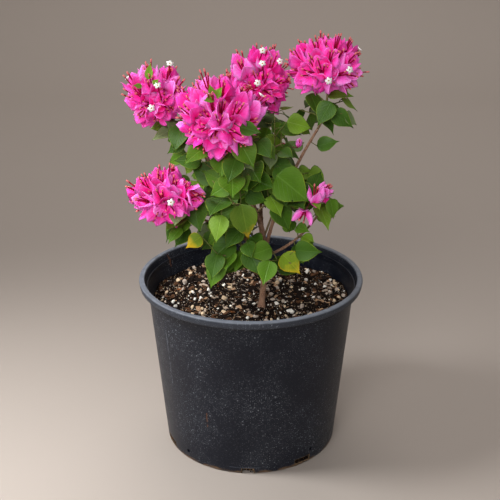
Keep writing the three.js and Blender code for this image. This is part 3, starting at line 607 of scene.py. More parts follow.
def grow_leaves(mass, stem, room):
    """Twigs and leaves: at each node of the stem a leaf, and mostly a twig with two."""
    draw = random_stream(mass["seed"])
    phase = draw() * FULL_TURN
    leaves = named_leaves(mass, stem, room)
    twigs = []

    def settled(leaf):
        fits = room.leaf_fits(leaf, mass) and not crowded(leaf, leaves)
        if fits:
            leaves.append(leaf)
        return fits

    headed = "head" in mass
    first = FIRST_NODE["under_head" if headed else "leafy"]
    under_head = 1 - 0.8 * max(mass["head"]["half"]) / stem.length if headed else 1.0
    last = mass.get("last", under_head)
    for k in range(mass["nodes"]):
        f = first + (last - first) * (k + 0.5) / mass["nodes"]
        at = stem.curve(f)
        onward = (stem.curve(f + 0.01) - stem.curve(f - 0.01)).normalized()
        angle = phase + GOLDEN_ANGLE * k + (draw() - 0.5) * 0.6
        side = sideways(onward, angle)
        heading = (side + onward * (0.3 + 0.4 * draw()) + UP * 0.1).normalized()
        reach = mass["reach"] * between(SPREAD["twig"], draw())
        way = (heading - side * 0.2 + onward * 0.3).normalized()
        settled(grow_leaf(mass, at, way, mass["leaf"] * between(SPREAD["leaf"], draw()), draw))
        tip = at + heading * reach
        curve = bowed(at, (at + tip) * 0.5 + UP * (reach * TWIG["lift"]), tip)
        twig_leaves = []
        for j, place in enumerate(TWIG["leaf_places"]):
            turned = sideways(heading, angle * 1.7 + math.pi * j + draw() * 1.5)
            way = heading if place == 1.0 else (turned + heading * 0.4).normalized()
            length = mass["leaf"] * between(SPREAD["leaf"], draw())
            twig_leaves.append(grow_leaf(mass, curve(place), way, length, draw))
        if k % BARE_NODES == BARE_NODES - 1 or not room.twig_fits(curve, mass, reach):
            continue
        if [leaf for leaf in twig_leaves if settled(leaf)]:
            twigs.append(curve)
    if not headed:
        end = stem.curve(1.0)
        heading = (end - stem.curve(0.97)).normalized()
        settled(grow_leaf(mass, end, heading, mass["leaf"] * between(SPREAD["end_leaf"], draw()), draw))
    return twigs, leaves


def grow_florets(mass, stem, room, shell):
    """Florets spread evenly round a head, their bracts' tips near its surface."""
    head = mass["head"]
    draw = random_stream(head["seed"] + shell["seed"])
    count = round(head["florets"] * shell["share"])
    centre = Vector(head["centre"])
    towards_stem = (stem.curve(0.85) - centre).normalized()
    spin = draw() * FULL_TURN
    florets = []
    for k in range(count):
        z = 1 - 2 * (k + 0.5) / count
        angle = spin + GOLDEN_ANGLE * k + (draw() - 0.5) * 0.35
        ring = math.sqrt(max(0.0, 1 - z * z))
        axis = Vector((ring * math.cos(angle), ring * math.sin(angle), z + (draw() - 0.5) * 0.1)).normalized()
        jitter = between(shell["surface"], draw())
        roll = draw() * FULL_TURN
        opening = between(CUP_OPENING, draw())
        length = head["bract"] * shell["size"] * between(SPREAD["floret"], draw())
        reach = jitter / math.sqrt(sum((axis[i] / head["half"][i]) ** 2 for i in range(3)))
        root = centre + axis * max(reach - length * HEAD["tips"], HEAD["innermost"])
        floret = dict(root=root, axis=axis, length=length, roll=roll, opening=opening)
        if axis.dot(towards_stem) < HEAD["bare_cosine"] and room.floret_fits(floret, mass):
            florets.append(floret)
    return florets


def turned_up(floret):
    """The floret with its cup turned up and closed a little, its tips where they were."""
    share = (floret["axis"].z - CUP["lowest"]) / (CUP["highest"] - CUP["lowest"])
    share = min(max(share, 0.0), 1.0)
    axis = (floret["axis"] + UP * (CUP["upright"] * share)).normalized()
    opening = floret["opening"] * (1.08 - CUP["closing"] * share)
    tips = floret["root"] + floret["axis"] * (floret["length"] * math.cos(floret["opening"]))
    root = tips - axis * (floret["length"] * math.cos(opening))
    return dict(floret, axis=axis, root=root, opening=opening)


def single_florets(name, stem):
    """Florets and buds that stand alone, each on a stalk from the nearest of its stem."""
    florets = []
    for carrier, root, tip, opening, roll in SINGLE_FLORETS:
        if carrier == name:
            root, tip = Vector(root), Vector(tip)
            from_place = min((stem.curve(i / 20) for i in range(21)), key=lambda place: (place - root).length)
            florets.append(dict(root=root, axis=(tip - root).normalized(), length=(tip - root).length,
                                opening=opening, roll=roll, stalk=from_place, tint=0.9))
    return florets


def on_blade(leaf, point):
    """Height of a point over a leaf's blade, or None when it is beside the blade."""
    away = point - leaf["root"]
    along = away.dot(leaf["direction"]) / leaf["length"]
    if not 0.0 < along < 1.0:
        return None
    width = leaf["length"] * LEAF["half_width"]
    side = away.dot(leaf["direction"].cross(leaf["face"])) / width
    if abs(side) > along_table(LEAF_CORNERS, along):
        return None
    rise = abs(side) * width * LEAF["fold"] - along * along * leaf["length"] * LEAF["droop"]
    return away.dot(leaf["face"]) - rise


def pierces(leaf, other):
    """Whether one blade runs through another."""
    if (middle_of(leaf) - middle_of(other)).length > (leaf["length"] + other["length"]) * 0.6:
        return False
    for one, two in ((leaf, other), (other, leaf)):
        point = blade_surface(one, LEAF)
        heights = [on_blade(two, point(t, u * along_table(LEAF_CORNERS, t)))
                   for t in (0.02, 0.2, 0.4, 0.6, 0.8, 1.0) for u in (-0.95, -0.5, 0, 0.5, 0.95)]
        heights = [height for height in heights if height is not None]
        if heights and min(heights) < 0.0004 and max(heights) > -0.0004:
            return True
    return False


def untangled(leaf, owner, placed, room):
    """The leaf, turned a little about its root where it would run through another."""
    def free(candidate):
        return not any(pierces(candidate, other) for other in placed)

    if free(leaf):
        return leaf
    across = leaf["direction"].cross(leaf["face"])
    for angle in (12, -12, 24, -24, 36, -36):
        for axis in (across, leaf["face"], leaf["direction"]):
            spin = Matrix.Rotation(math.radians(angle), 3, axis)
            turned = dict(leaf, direction=spin @ leaf["direction"], face=spin @ leaf["face"])
            if free(turned) and room.free_of_limbs(turned, owner):
                return turned
    return leaf


def hides(leaf, shown):
    """Whether a leaf would stand before one of the leaves or florets that stand out."""
    for front_middle, reach in shown:
        away = middle_of(leaf) - front_middle
        before = away.dot(FRONT)
        if before > -0.002 and (away - FRONT * before).length < leaf["length"] * 0.36 + reach:
            return True
    return False


def grow_fine(part, stem, twigs, taken, shown, room):
    """Finer shoots between the twigs, each with a leaf at its end and mostly one below."""
    draw = random_stream(part["fine"])
    lit = dict(part, front=part.get("front", LIT_FRONT) + FINE["front"])
    shoots, leaves = [], []
    for _ in range(part["shoots"]):
        along, angle, share = draw(), draw() * FULL_TURN, draw()
        parent, place = stem.curve, between(part.get("run", FINE["run"]), along)
        if twigs and share < FINE["on_twig"]:
            parent, place = twigs[int(share / FINE["on_twig"] * len(twigs))], 0.3 + 0.6 * along
        at = parent(place)
        onward = (parent(min(place + 0.02, 1.0)) - parent(place - 0.02)).normalized()
        heading = (sideways(onward, angle) + onward * (0.4 + 0.5 * draw()) + UP * 0.1).normalized()
        reach = part["reach"] * between(FINE["reach"], draw())
        tip = at + heading * reach
        curve = bowed(at, (at + tip) * 0.5 + UP * (reach * 0.06), tip)
        end = grow_leaf(lit, tip, heading, part["leaf"] * between(FINE["leaf"], draw()), draw)
        turned = (sideways(heading, angle * 2.3) + heading * 0.5).normalized()
        lower = grow_leaf(lit, curve(0.55), turned, part["leaf"] * between(FINE["leaf"], draw()), draw)
        kept = []
        for leaf in (end, lower):
            inside = all(rank_in(part, p) < LEAF_REACH and p.z > LOWEST_LEAF
                         for p in blade_outline(leaf, LEAF, LEAF_CORNERS))
            apart = not crowded(leaf, taken + leaves, FINE["crowding"]) and not hides(leaf, shown)
            if inside and apart and room.free_of_limbs(leaf, stem.name) and not any(
                    pierces(leaf, other) for other in taken + leaves):
                leaves.append(leaf)
                kept.append(leaf)
        if kept:
            shoots.append(curve if end in kept else None)
    return [curve for curve in shoots if curve], leaves


class Plant:
    """Everything that grows, worked out once."""

    def __init__(self):
        self.limbs = make_limbs()
        room = Room(self.limbs)
        self.growth = []
        for mass in MASSES:
            stem = stem_of(mass, self.limbs)
            twigs, leaves = grow_leaves(mass, stem, room)
            florets = []
            for shell in (OUTER_SHELL, INNER_SHELL) if "head" in mass else ():
                florets += [turned_up(floret) for floret in grow_florets(mass, stem, room, shell)]
            florets += single_florets(mass["name"], stem)
            self.growth.append(dict(mass=mass, stem=stem, twigs=twigs, leaves=leaves, florets=florets))
        self.fine_twigs, self.fine_leaves = [], []
        taken = []
        grown = [leaf for growth in self.growth for leaf in growth["leaves"]]
        shown = [(middle_of(leaf), leaf["length"] * 0.30) for leaf in grown if leaf["kind"]]
        shown += [(floret["root"] + floret["axis"] * 0.008, 0.005) for growth in self.growth
                  for floret in growth["florets"] if "stalk" in floret]
        shown += [(Vector(spot), reach) for spot, reach in OPEN_VIEWS]
        for growth in sorted(self.growth, key=lambda one: one["mass"]["name"] not in NAMED_LEAVES):
            kept = []
            for leaf in growth["leaves"]:
                if leaf["kind"] or not hides(leaf, shown):
                    kept.append(untangled(leaf, growth["mass"]["name"], taken, room))
                    taken.append(kept[-1])
            growth["leaves"] = kept
        parts = [(growth["mass"], growth["stem"], growth["twigs"]) for growth in self.growth]
        parts += [(shoot, self.limbs[shoot["name"]], []) for shoot in LEAFY_LIMBS]
        for part, stem, twigs in parts:
            shoots, leaves = grow_fine(part, stem, twigs, taken, shown, room)
            self.fine_twigs += shoots
            self.fine_leaves += leaves
            taken += leaves


PLANT = Plant()


# ------------------------------------------------------------------- materials

def colour(red, green, blue):
    """A colour given as it looks on a screen, 0 to 255, as the shader wants it."""
    def linear(value):
        share = value / 255
        return share / 12.92 if share <= 0.04045 else ((share + 0.055) / 1.055) ** 2.4
    return (linear(red), linear(green), linear(blue), 1.0)


def opaque(shade, depth=1.0):
    """A setting's colour for a shader, made deeper by a share."""
    return tuple(c * depth for c in shade[:3]) + (1.0,)


class Nodes:
    """A node tree, with short ways to add to it."""

    def __init__(self, tree):
        self.tree = tree

    def feed(self, socket, value):
        if hasattr(value, "is_output"):
            self.tree.links.new(value, socket)
        else:
            socket.default_value = value

    def add(self, kind, inputs=None, **settings):
        made = self.tree.nodes.new(kind)
        for key, value in settings.items():
            setattr(made, key, value)
        for key, value in (inputs or {}).items():
            self.feed(made.inputs[key], value)
        return made

    def maths(self, operation, a, b=0.0, clamp=False):
        return self.add("ShaderNodeMath", {0: a, 1: b}, operation=operation, use_clamp=clamp).outputs[0]

    def times(self, a, b, clamp=False):
        return self.maths("MULTIPLY", a, b, clamp)

    def plus(self, a, b, clamp=False):
        return self.maths("ADD", a, b, clamp)

    def minus(self, a, b):
        return self.maths("SUBTRACT", a, b)

    def larger(self, a, b):
        return self.maths("MAXIMUM", a, b)

    def off(self, value, middle):
        """How far a value lies from a middle, to either side."""
        return self.maths("ABSOLUTE", self.minus(value, middle))

    def ramp(self, value, low, high):
        """0 below low, 1 above high."""
        return self.add("ShaderNodeMapRange", {0: value, 1: low, 2: high}, clamp=True).outputs[0]

    def blend(self, factor, first, second):
        made = self.add("ShaderNodeMix", data_type="RGBA")
        for name, kind, value in (("Factor", "VALUE", factor), ("A", "RGBA", first), ("B", "RGBA", second)):
            self.feed(next(s for s in made.inputs if s.name == name and s.type == kind), value)
        return next(s for s in made.outputs if s.type == "RGBA")

    def split(self, vector):
        return self.add("ShaderNodeSeparateXYZ", {0: vector}).outputs

    def noise(self, vector, scale, **inputs):
        return self.add("ShaderNodeTexNoise", {"Vector": vector, "Scale": scale, **inputs}).outputs["Fac"]


def effect(name, output, inputs, build):
    """A shader node group with named inputs and one output, built once."""
    if name not in bpy.data.node_groups:
        tree = bpy.data.node_groups.new(name, "ShaderNodeTree")
        tree.interface.new_socket(name="Vector", in_out="INPUT", socket_type="NodeSocketVector")
        for label, value in inputs.items():
            socket = tree.interface.new_socket(name=label, in_out="INPUT", socket_type="NodeSocketFloat")
            socket.default_value = value
        tree.interface.new_socket(name=output, in_out="OUTPUT", socket_type="NodeSocketFloat")
        given = tree.nodes.new("NodeGroupInput").outputs
        leaving = tree.nodes.new("NodeGroupOutput").inputs
        tree.links.new(build(Nodes(tree), given), leaving[output])
    return bpy.data.node_groups[name]


def mottle(make, given):
    """Soft blotches over a surface: a value from 0 to 1 round a half."""
    wide = make.noise(given["Vector"], given["Scale"], Detail=4.0)
    return make.plus(make.times(make.minus(wide, 0.5), given["Contrast"]), 0.5, clamp=True)


def specks(make, given):
    """Small grains strewn over a surface: 1 on a grain, 0 between."""
    cells = make.add("ShaderNodeTexVoronoi", {"Vector": given["Vector"], "Scale": given["Scale"]}).outputs
    chance = make.add("ShaderNodeSeparateColor", {0: cells["Color"]}).outputs[0]
    near = make.maths("LESS_THAN", cells["Distance"], make.times(chance, given["Size"]))
    return make.times(near, make.maths("GREATER_THAN", chance, make.minus(1.0, given["Share"])))


def veins(make, given):
    """A blade's veins from its own map: x runs from root to tip, y across it."""
    at = make.split(given["Vector"])
    side = make.off(at["Y"], 0.5)
    phase = make.times(make.minus(at["X"], make.times(side, given["Lean"])), given["Count"])
    lines = make.ramp(make.off(make.maths("FRACT", phase), 0.5), 0.40, 0.50)
    midrib = make.minus(1.0, make.ramp(side, 0.012, 0.035))
    return make.larger(make.times(lines, 0.55), midrib)


def marks(make, given):
    """A broken streak or line at a place on a wall: 1 on the mark."""
    at = make.split(given["Vector"])
    turn = make.maths("ARCTAN2", at["X"], make.times(at["Y"], -1.0))
    wander = make.times(make.minus(make.noise(given["Vector"], 60.0), 0.5), given["Wander"])
    near = make.times(
        make.maths("LESS_THAN", make.off(make.plus(turn, wander), given["Turn"]), given["Half Turn"]),
        make.maths("LESS_THAN", make.off(at["Z"], given["Level"]), given["Half Height"]))
    return make.times(near, make.ramp(make.noise(given["Vector"], 220.0), 0.38, 0.52))


EFFECTS = {  # what builds each group, its output and its inputs' usual values
    "mottle": (mottle, "Value", {"Scale": 60.0, "Contrast": 2.0}),
    "specks": (specks, "Mask", {"Scale": 300.0, "Share": 0.3, "Size": 0.4}),
    "blade veins": (veins, "Veins", {"Count": 7.0, "Lean": 0.9}),
    "wall marks": (marks, "Mask", {"Turn": 0.0, "Half Turn": 0.01, "Level": 0.1, "Half Height": 0.01,
                                   "Wander": 0.02}),
}


class Finish(Nodes):
    """A material in the making: its tree, its shader and the places they read."""

    def __init__(self, name, roughness, specular=0.5):
        self.material = bpy.data.materials.new(name)
        self.material.use_nodes = True
        super().__init__(self.material.node_tree)
        self.shader = next(node for node in self.tree.nodes if node.type == "BSDF_PRINCIPLED")
        self.position = self.add("ShaderNodeTexCoord").outputs["Object"]
        self.set("Roughness", roughness)
        self.set("Specular IOR Level", specular)

    def set(self, name, value):
        self.feed(self.shader.inputs[name], value)

    def group(self, name, vector, **values):
        build, output, inputs = EFFECTS[name]
        made = self.add("ShaderNodeGroup", node_tree=effect(name, output, inputs, build))
        self.feed(made.inputs["Vector"], vector)
        for label, value in values.items():
            made.inputs[label.replace("_", " ")].default_value = value
        return made.outputs[output]

    def mottle(self, scale, contrast, vector=None):
        vector = self.position if vector is None else vector
        return self.group("mottle", vector, Scale=scale, Contrast=contrast)

    def specks(self, scale, share, size):
        return self.group("specks", self.position, Scale=scale, Share=share, Size=size)

    def blade(self, count, lean):
        """Place along a blade, distance from its midrib, and its veins."""
        own = self.add("ShaderNodeUVMap", uv_map="shape").outputs["UV"]
        at = self.split(own)
        return at["X"], self.off(at["Y"], 0.5), self.group("blade veins", own, Count=count, Lean=lean)

    def raise_by(self, height, distance, strength):
        bump = self.add("ShaderNodeBump", {"Strength": strength, "Distance": distance, "Height": height})
        self.set("Normal", bump.outputs["Normal"])


def leaf_material(name, base, lighter, roughness, tip=None, turned_from=0.40):
    """A satin blade: deeper at its foot, paler at its edges, yellower towards `tip`."""
    make = Finish(name, roughness, 0.20)
    along, side, lines = make.blade(7.0, 0.9)
    blotch, fine = make.mottle(42.0, 2.0), make.mottle(700.0, 1.6)
    darker = opaque(base, 0.58)
    body = make.blend(blotch, darker, base)
    body = make.blend(make.times(fine, 0.12), body, lighter)
    foot = make.minus(1.0, make.ramp(along, 0.0, 0.55))
    body = make.blend(make.times(foot, 0.45), body, darker)
    body = make.blend(make.times(make.ramp(side, 0.15, 0.5), 0.24), body, lighter)
    if tip:
        wander = make.times(make.minus(blotch, 0.5), 0.5)
        body = make.blend(make.ramp(make.plus(along, wander), turned_from, turned_from + 0.5), body, tip)
    make.set("Base Color", make.blend(make.times(lines, 0.18), body, lighter))
    make.set("Roughness", make.plus(make.times(fine, 0.14), roughness))
    make.raise_by(make.minus(make.times(fine, 0.3), lines), 0.0005, 0.7)
    return make.material


def plain_material(name, base, roughness, scale=400.0, spread=0.25, relief=0.0002):
    """A plain finish with a gentle grain."""
    make = Finish(name, roughness, 0.12)
    grain = make.mottle(scale, 2.0)
    make.set("Base Color", make.blend(grain, opaque(base, 1 - spread), base))
    if relief:
        make.raise_by(grain, relief, 0.5)
    return make.material


# A painted glow: the bracts emit their own colour faintly, in place of light shining through them.
PAINTED_THROUGH_GLOW = 0.10  # the light that comes through a thin bract from behind


def bract_material(name, base, edge_colour, vein):
    """A papery bract: deep at its foot, paler towards tip and edges, finely veined, with a faint painted
    glow.
    """
    make = Finish(name, 0.7, 0.12)
    along, side, lines = make.blade(5.0, 0.7)
    grain = make.mottle(300.0, 2.2)
    pale = make.larger(make.ramp(side, 0.10, 0.46), make.ramp(along, 0.40, 1.0))
    share = make.times(pale, make.plus(make.times(grain, 0.6), 0.5), clamp=True)
    body = make.blend(share, base, edge_colour)
    foot = make.minus(1.0, make.ramp(along, 0.02, 0.34))
    finished = make.blend(make.larger(make.times(lines, 0.45), make.times(foot, 0.8)), body, vein)
    make.set("Base Color", finished)
    # Painted glow: the bract emits its colour a little, standing in for light that comes through it from
    # behind.
    make.set("Emission Color", finished)
    make.set("Emission Strength", PAINTED_THROUGH_GLOW)
    make.raise_by(make.plus(lines, make.times(grain, 0.5)), 0.0002, 0.4)
    return make.material


WALL_MARKS = (  # turn from the front, half turn, level, half height, wander, strength, colour
    (-0.95, 0.0035, 0.150, 0.042, 0.020, 0.55, (128, 138, 150)),
    (-0.475, 0.0060, 0.078, 0.011, 0.030, 0.55, (112, 70, 34)),
    (-0.04, 0.2300, 0.0090, 0.00045, 0.0, 0.45, (96, 106, 120)),
    (-2.16, 0.0120, 0.2240, 0.009, 0.020, 0.75, (112, 70, 40)),
)


def plastic_material(look):
    """Black moulded plastic with fine grey dust, a greyer rim and band that are partly dust and partly
    painted sheen from the light above, and earth at its foot.
    """
    make = Finish("pot plastic", look.roughness, 0.29)
    at = make.split(make.position)
    patch, cloud, fine = make.mottle(14.0, 3.2), make.mottle(80.0, 3.0), make.mottle(900.0, 2.6)
    coarse, small, tiny = (make.specks(*grain) for grain in
                           ((190.0, 0.35, 0.20), (360.0, 0.55, 0.25), (640.0, 0.60, 0.36)))
    grains = make.larger(make.times(coarse, 0.66), make.times(small, 0.62))
    grains = make.larger(grains, make.times(tiny, 0.46))
    film = make.times(make.times(patch, cloud), fine)
    dust, rim = opaque(look.dust_colour), opaque(look.rim_dust_and_sheen_colour)
    body = make.blend(make.times(film, look.dust * 0.10), opaque(look.plastic_colour), dust)
    spots = make.times(grains, make.plus(make.times(patch, 0.9), 0.12))
    body = make.blend(make.times(spots, look.dust), body, dust)
    flat = make.add("ShaderNodeCombineXYZ", {0: at["X"], 1: at["Y"]}).outputs[0]
    radius = make.add("ShaderNodeVectorMath", {0: flat}, operation="LENGTH").outputs["Value"]
    # The rim's outer band and flat top are paled towards the rim colour: partly dust, partly a painted sheen
    # where they catch and reflect the light from above.
    band_dust_and_sheen = make.times(make.ramp(at["Z"], POT_HEIGHT - 0.0100, POT_HEIGHT - 0.0085),
                         make.maths("GREATER_THAN", radius, 0.1450))
    body = make.blend(make.times(band_dust_and_sheen, 0.16), body, rim)
    top_dust_and_sheen = make.ramp(at["Z"], POT_HEIGHT - 0.0022, POT_HEIGHT - 0.0006)
    body = make.blend(make.times(top_dust_and_sheen, make.plus(make.times(cloud, 0.35), 0.60)), body, rim)
    low = make.minus(1.0, make.ramp(at["Z"], 0.0005, 0.0065))
    earth = make.times(make.ramp(make.times(low, cloud), 0.12, 0.5), 0.8)
    body = make.blend(earth, body, colour(104, 80, 58))
    for turn, half_turn, level, half_height, wander, strength, tint in WALL_MARKS:
        mask = make.group("wall marks", make.position, Turn=turn, Half_Turn=half_turn, Level=level,
                          Half_Height=half_height, Wander=wander)
        body = make.blend(make.times(mask, strength), body, colour(*tint))
    make.set("Base Color", body)
    worn = make.plus(make.times(film, 0.30), look.roughness)
    make.set("Roughness", make.plus(worn, make.times(grains, 0.2), clamp=True))
    make.raise_by(make.plus(make.times(fine, 0.25), make.times(grains, 0.6)), 0.0003, 0.45)
    return make.material


def bark_material(name, base, dark, light):
    """Smooth young bark with fine cracks along the stem and pale warts."""
    make = Finish(name, 0.82)
    drawn_out = make.add("ShaderNodeMapping", {"Vector": make.position, "Scale": (1.0, 1.0, 0.22)})
    streak = make.mottle(900.0, 3.0, drawn_out.outputs["Vector"])
    blotch, warts = make.mottle(150.0, 2.6), make.specks(520.0, 0.3, 0.42)
    body = make.blend(streak, dark, base)
    body = make.blend(make.times(blotch, 0.45), body, light)
    make.set("Base Color", make.blend(make.times(warts, 0.6), body, light))
    make.raise_by(make.plus(streak, make.times(warts, 0.8)), 0.0005, 0.8)
    return make.material


def earth_material():
    """Dark moist potting mix."""
    make = Finish("potting mix", 0.95, 0.08)
    wide, fine, bits = make.mottle(70.0, 3.0), make.mottle(700.0, 3.4), make.specks(420.0, 0.42, 0.42)
    body = make.blend(fine, colour(5, 3, 2), colour(46, 30, 20))
    body = make.blend(make.times(wide, 0.5), body, colour(9, 6, 4))
    make.set("Base Color", make.blend(make.times(bits, 0.50), body, colour(168, 134, 102)))
    make.raise_by(make.plus(fine, bits), 0.0012, 0.9)
    return make.material


def sweep_material(shade):
    """The paper of floor and backdrop."""
    make = Finish("studio sweep", 0.85)
    make.set("Base Color", make.blend(make.mottle(3.0, 0.6), opaque(shade, 0.95), opaque(shade)))
    return make.material


# --------------------------------------------------------------------- settings

def a_colour(name, description, default):
    return bpy.props.FloatVectorProperty(name=name, description=description, default=default,
                                         subtype="COLOR", size=3, min=0, max=1)


def a_length(name, description, default):
    return bpy.props.FloatProperty(name=name, description=description, default=default,
                                   unit="LENGTH")


def a_share(name, description, default):
    return bpy.props.FloatProperty(name=name, description=description, default=default,
                                   subtype="FACTOR", min=0, max=1)


def a_count(name, description, default, least=0):
    return bpy.props.IntProperty(name=name, description=description, default=default, min=least)


class BushPotSettings(bpy.types.PropertyGroup):
    """The nursery pot."""
    segments: a_count("Segments", "Facets round the pot", 128, 24)
    wall: a_length("Wall", "Thickness of the wall", 0.0024)
    lip_drop: a_length("Rim band", "Height of the rim's band", 0.010)
    plastic_colour: a_colour("Plastic", "Colour of the plastic", (0.0018, 0.0036, 0.0100))
    dust_colour: a_colour("Dust", "Colour of the dust", (0.320, 0.345, 0.385))
    # Colour of the rim's dust together with a painted sheen where the rim catches the light from above.
    rim_dust_and_sheen_colour: a_colour("Rim dust and sheen", "Colour of the dust on the rim", (0.165, 0.180, 0.210))
    dust: a_share("Dustiness", "How much dust lies on the pot", 0.8)
    roughness: a_share("Roughness", "Roughness of clean plastic", 0.40)


class BushMixSettings(bpy.types.PropertyGroup):
    """The potting mix and what is strewn on it."""
    relief: a_length("Relief", "Height of the mix's clods", 0.0046)
    chips: a_count("Bark chips", "How many chips of bark", 2200)
    lumps: a_count("Perlite", "How many lumps of perlite", 560)
    grains: a_count("Grains", "How many small white grains", 4200)
    spilled: a_count("In the drains", "How many bits show in each drain opening", 24)
    seed: a_count("Seed", "Seed of the strewing", 7)


class BushWoodSettings(bpy.types.PropertyGroup):
    """Trunk, boughs and twigs."""
    sides: a_count("Sides", "Facets round the trunk", 16, 6)
    relief: a_length("Bark relief", "Height of the bark's warts", 0.00028)
    bark_colour: a_colour("Bark", "Colour of the bark", (0.33, 0.165, 0.095))
    shoot_colour: a_colour("Shoots", "Colour of young shoots", (0.16, 0.17, 0.045))


class BushLeafSettings(bpy.types.PropertyGroup):
    """Leaves."""
    ripple: a_share("Ripple", "How wavy the edges are, of the length", 0.022)
    thickness: a_length("Thickness", "Thickness of a blade", 0.00035)
    dark_colour: a_colour("Dark leaf", "Colour of the oldest leaves", (0.043, 0.122, 0.003))
    mid_colour: a_colour("Leaf", "Colour of most leaves", (0.082, 0.200, 0.004))
    light_colour: a_colour("Light leaf", "Colour of younger leaves", (0.170, 0.325, 0.010))


class BushBloomSettings(bpy.types.PropertyGroup):
    """Bracts and the small flowers inside them."""
    bract_colour: a_colour("Bract", "Colour of most bracts", (1.0, 0.036, 0.43))
    tube_length: a_share("Tube", "Length of a flower's tube, of its bract's", 0.84)
    open_share: a_share("Open", "Share of the tubes behind that are open stars", 0.06)


class BushStageSettings(bpy.types.PropertyGroup):
    """Floor, backdrop, lights and camera."""
    floor_colour: a_colour("Floor", "Colour of floor and backdrop", (0.35, 0.300, 0.262))
    distance: a_length("Distance", "Camera to the plant's middle", 1.331)
    height: a_length("Look-at height", "Height the camera looks at", 0.272)
    elevation: bpy.props.FloatProperty(name="Elevation", description="How far the camera looks down",
                                       default=math.radians(22.0), unit="ROTATION")
    lens: bpy.props.FloatProperty(name="Lens", description="Focal length on a 36 mm sensor", default=72.0)


# ---------------------------------------------------------------------- the pot

POT = {"base": 0.117, "wall_top": 0.1382, "band": 0.010, "floor": 0.003}
DRAIN_NOTCHES = {"azimuths": (-2, 178), "width": 0.017, "low": -0.0002, "high": 0.008}
DRAIN_SLOTS = {"azimuths": (-67, 36, 113, 216), "width": 0.025, "low": 0.003, "high": 0.003 + 0.008}
PIERCED = ((-45.5, 0.0133), (42.7, 0.0193))  # azimuth and height of the small round holes
PIERCED_RADIUS = 0.0026
CUT_DEPTH, CUT_RADIUS = 0.016, 0.115  # of the blocks that cut the drain openings


def wall_outside(z):
    """The outer radius of the pot's wall at a height."""
    return POT["base"] + (POT["wall_top"] - POT["base"]) * z / (POT_HEIGHT - POT["band"])


def on_wall(azimuth, x, z, inside):
    """A place at the wall in front of the pot, turned round it by an azimuth."""
    radius = wall_outside(z) - inside
    place = Vector((x, -math.sqrt(radius * radius - x * x), z))
    return Matrix.Rotation(math.radians(azimuth), 3, "Z") @ place


def turned_shell(name, stations, segments):
    """A shell of revolution: a ring is extruded and scaled from station to station."""
    clear_selection()
    radius, height = stations[0]
    bpy.ops.mesh.primitive_circle_add(vertices=segments, radius=radius, location=(0, 0, height))
    piece = bpy.context.object
    piece.name = piece.data.name = name
    bpy.ops.object.transform_apply(location=True)
    bpy.ops.object.mode_set(mode="EDIT")
    bpy.ops.mesh.select_mode(type="EDGE")
    bpy.ops.mesh.select_all(action="SELECT")
    for (r0, z0), (r1, z1) in zip(stations, stations[1:]):
        bpy.ops.mesh.extrude_edges_move(TRANSFORM_OT_translate={"value": (0, 0, z1 - z0)})
        bpy.ops.transform.resize(value=(r1 / r0, r1 / r0, 1), center_override=(0, 0, z1))
    bpy.ops.mesh.select_all(action="DESELECT")
    bpy.ops.mesh.select_non_manifold(extend=False)
    bpy.ops.mesh.fill_holes(sides=0)
    bpy.ops.mesh.select_all(action="SELECT")
    bpy.ops.mesh.normals_make_consistent(inside=False)
    bpy.ops.object.mode_set(mode="OBJECT")
    return piece


def cut(piece, cutter):
    """Takes a cutter's shape out of a piece and removes the cutter."""
    settle(cutter)
    apply_modifier(piece, "BOOLEAN", operation="DIFFERENCE", object=cutter, solver="EXACT")
    bpy.data.objects.remove(cutter)


def drain_openings():
    """Azimuth, width, lower and upper edge of every drain opening."""
    return [(azimuth, kind["width"], kind["low"], kind["high"])
            for kind in (DRAIN_NOTCHES, DRAIN_SLOTS) for azimuth in kind["azimuths"]]


class BUSH_OT_pot(bpy.types.Operator):
    """Builds the round black nursery pot with its rolled rim and drain openings"""
    bl_idname = "bush.pot"
    bl_label = "Pot"

    def execute(self, context):
        look = context.scene.bush_pot
        top, floor = POT_HEIGHT, POT["floor"]
        foot = top - look.lip_drop
        outside = [(wall_outside(z), z) for z in (0.05, 0.1, 0.15, 0.2, foot - 0.003, foot)]
        inside = [(wall_outside(z) - look.wall, z) for z in (top - 0.03, 0.15, 0.05, floor)]
        rim = [
            (RIM_RADIUS - 0.0026, foot + 0.0001), (RIM_RADIUS - 0.0016, foot + 0.0009),
            (RIM_RADIUS - 0.0003, top - 0.0022), (RIM_RADIUS - 0.0008, top - 0.0008),
            (RIM_RADIUS - 0.0020, top),
            (0.1432, top), (0.1424, top - 0.0008), (0.1408, top - 0.006), (0.1384, top - 0.014),
        ]
        underside = [(0.1085, 0.0012), (0.1110, 0.0), (0.1158, 0.0), (0.1170, 0.0014)]
        pot = turned_shell("nursery_pot", underside + outside + rim + inside + [(0.06, floor)], look.segments)
        for azimuth, width, low, high in drain_openings():
            low = -high if low < 0 else low
            clear_selection()
            bpy.ops.mesh.primitive_cube_add(size=1)
            cutter = bpy.context.object
            turn = math.radians(azimuth)
            cutter.scale = (width, CUT_DEPTH, high - low)
            cutter.location = Matrix.Rotation(turn, 4, "Z") @ Vector((0, -CUT_RADIUS, (low + high) / 2))
            cutter.rotation_euler = (0, 0, turn)
            cut(pot, cutter)
        for azimuth, height in PIERCED:
            clear_selection()
            turn = math.radians(azimuth)
            bpy.ops.mesh.primitive_cylinder_add(
                vertices=16, radius=PIERCED_RADIUS, depth=0.02, rotation=(math.pi / 2, 0, turn),
                location=(POT["base"] * math.sin(turn), -POT["base"] * math.cos(turn), height))
            cut(pot, bpy.context.object)
        smooth_by_angle(pot, 32)
        pot.data.materials.clear()
        pot.data.materials.append(plastic_material(look))
        adopt(pot, "pot_plastic", "pot")
        return {"FINISHED"}


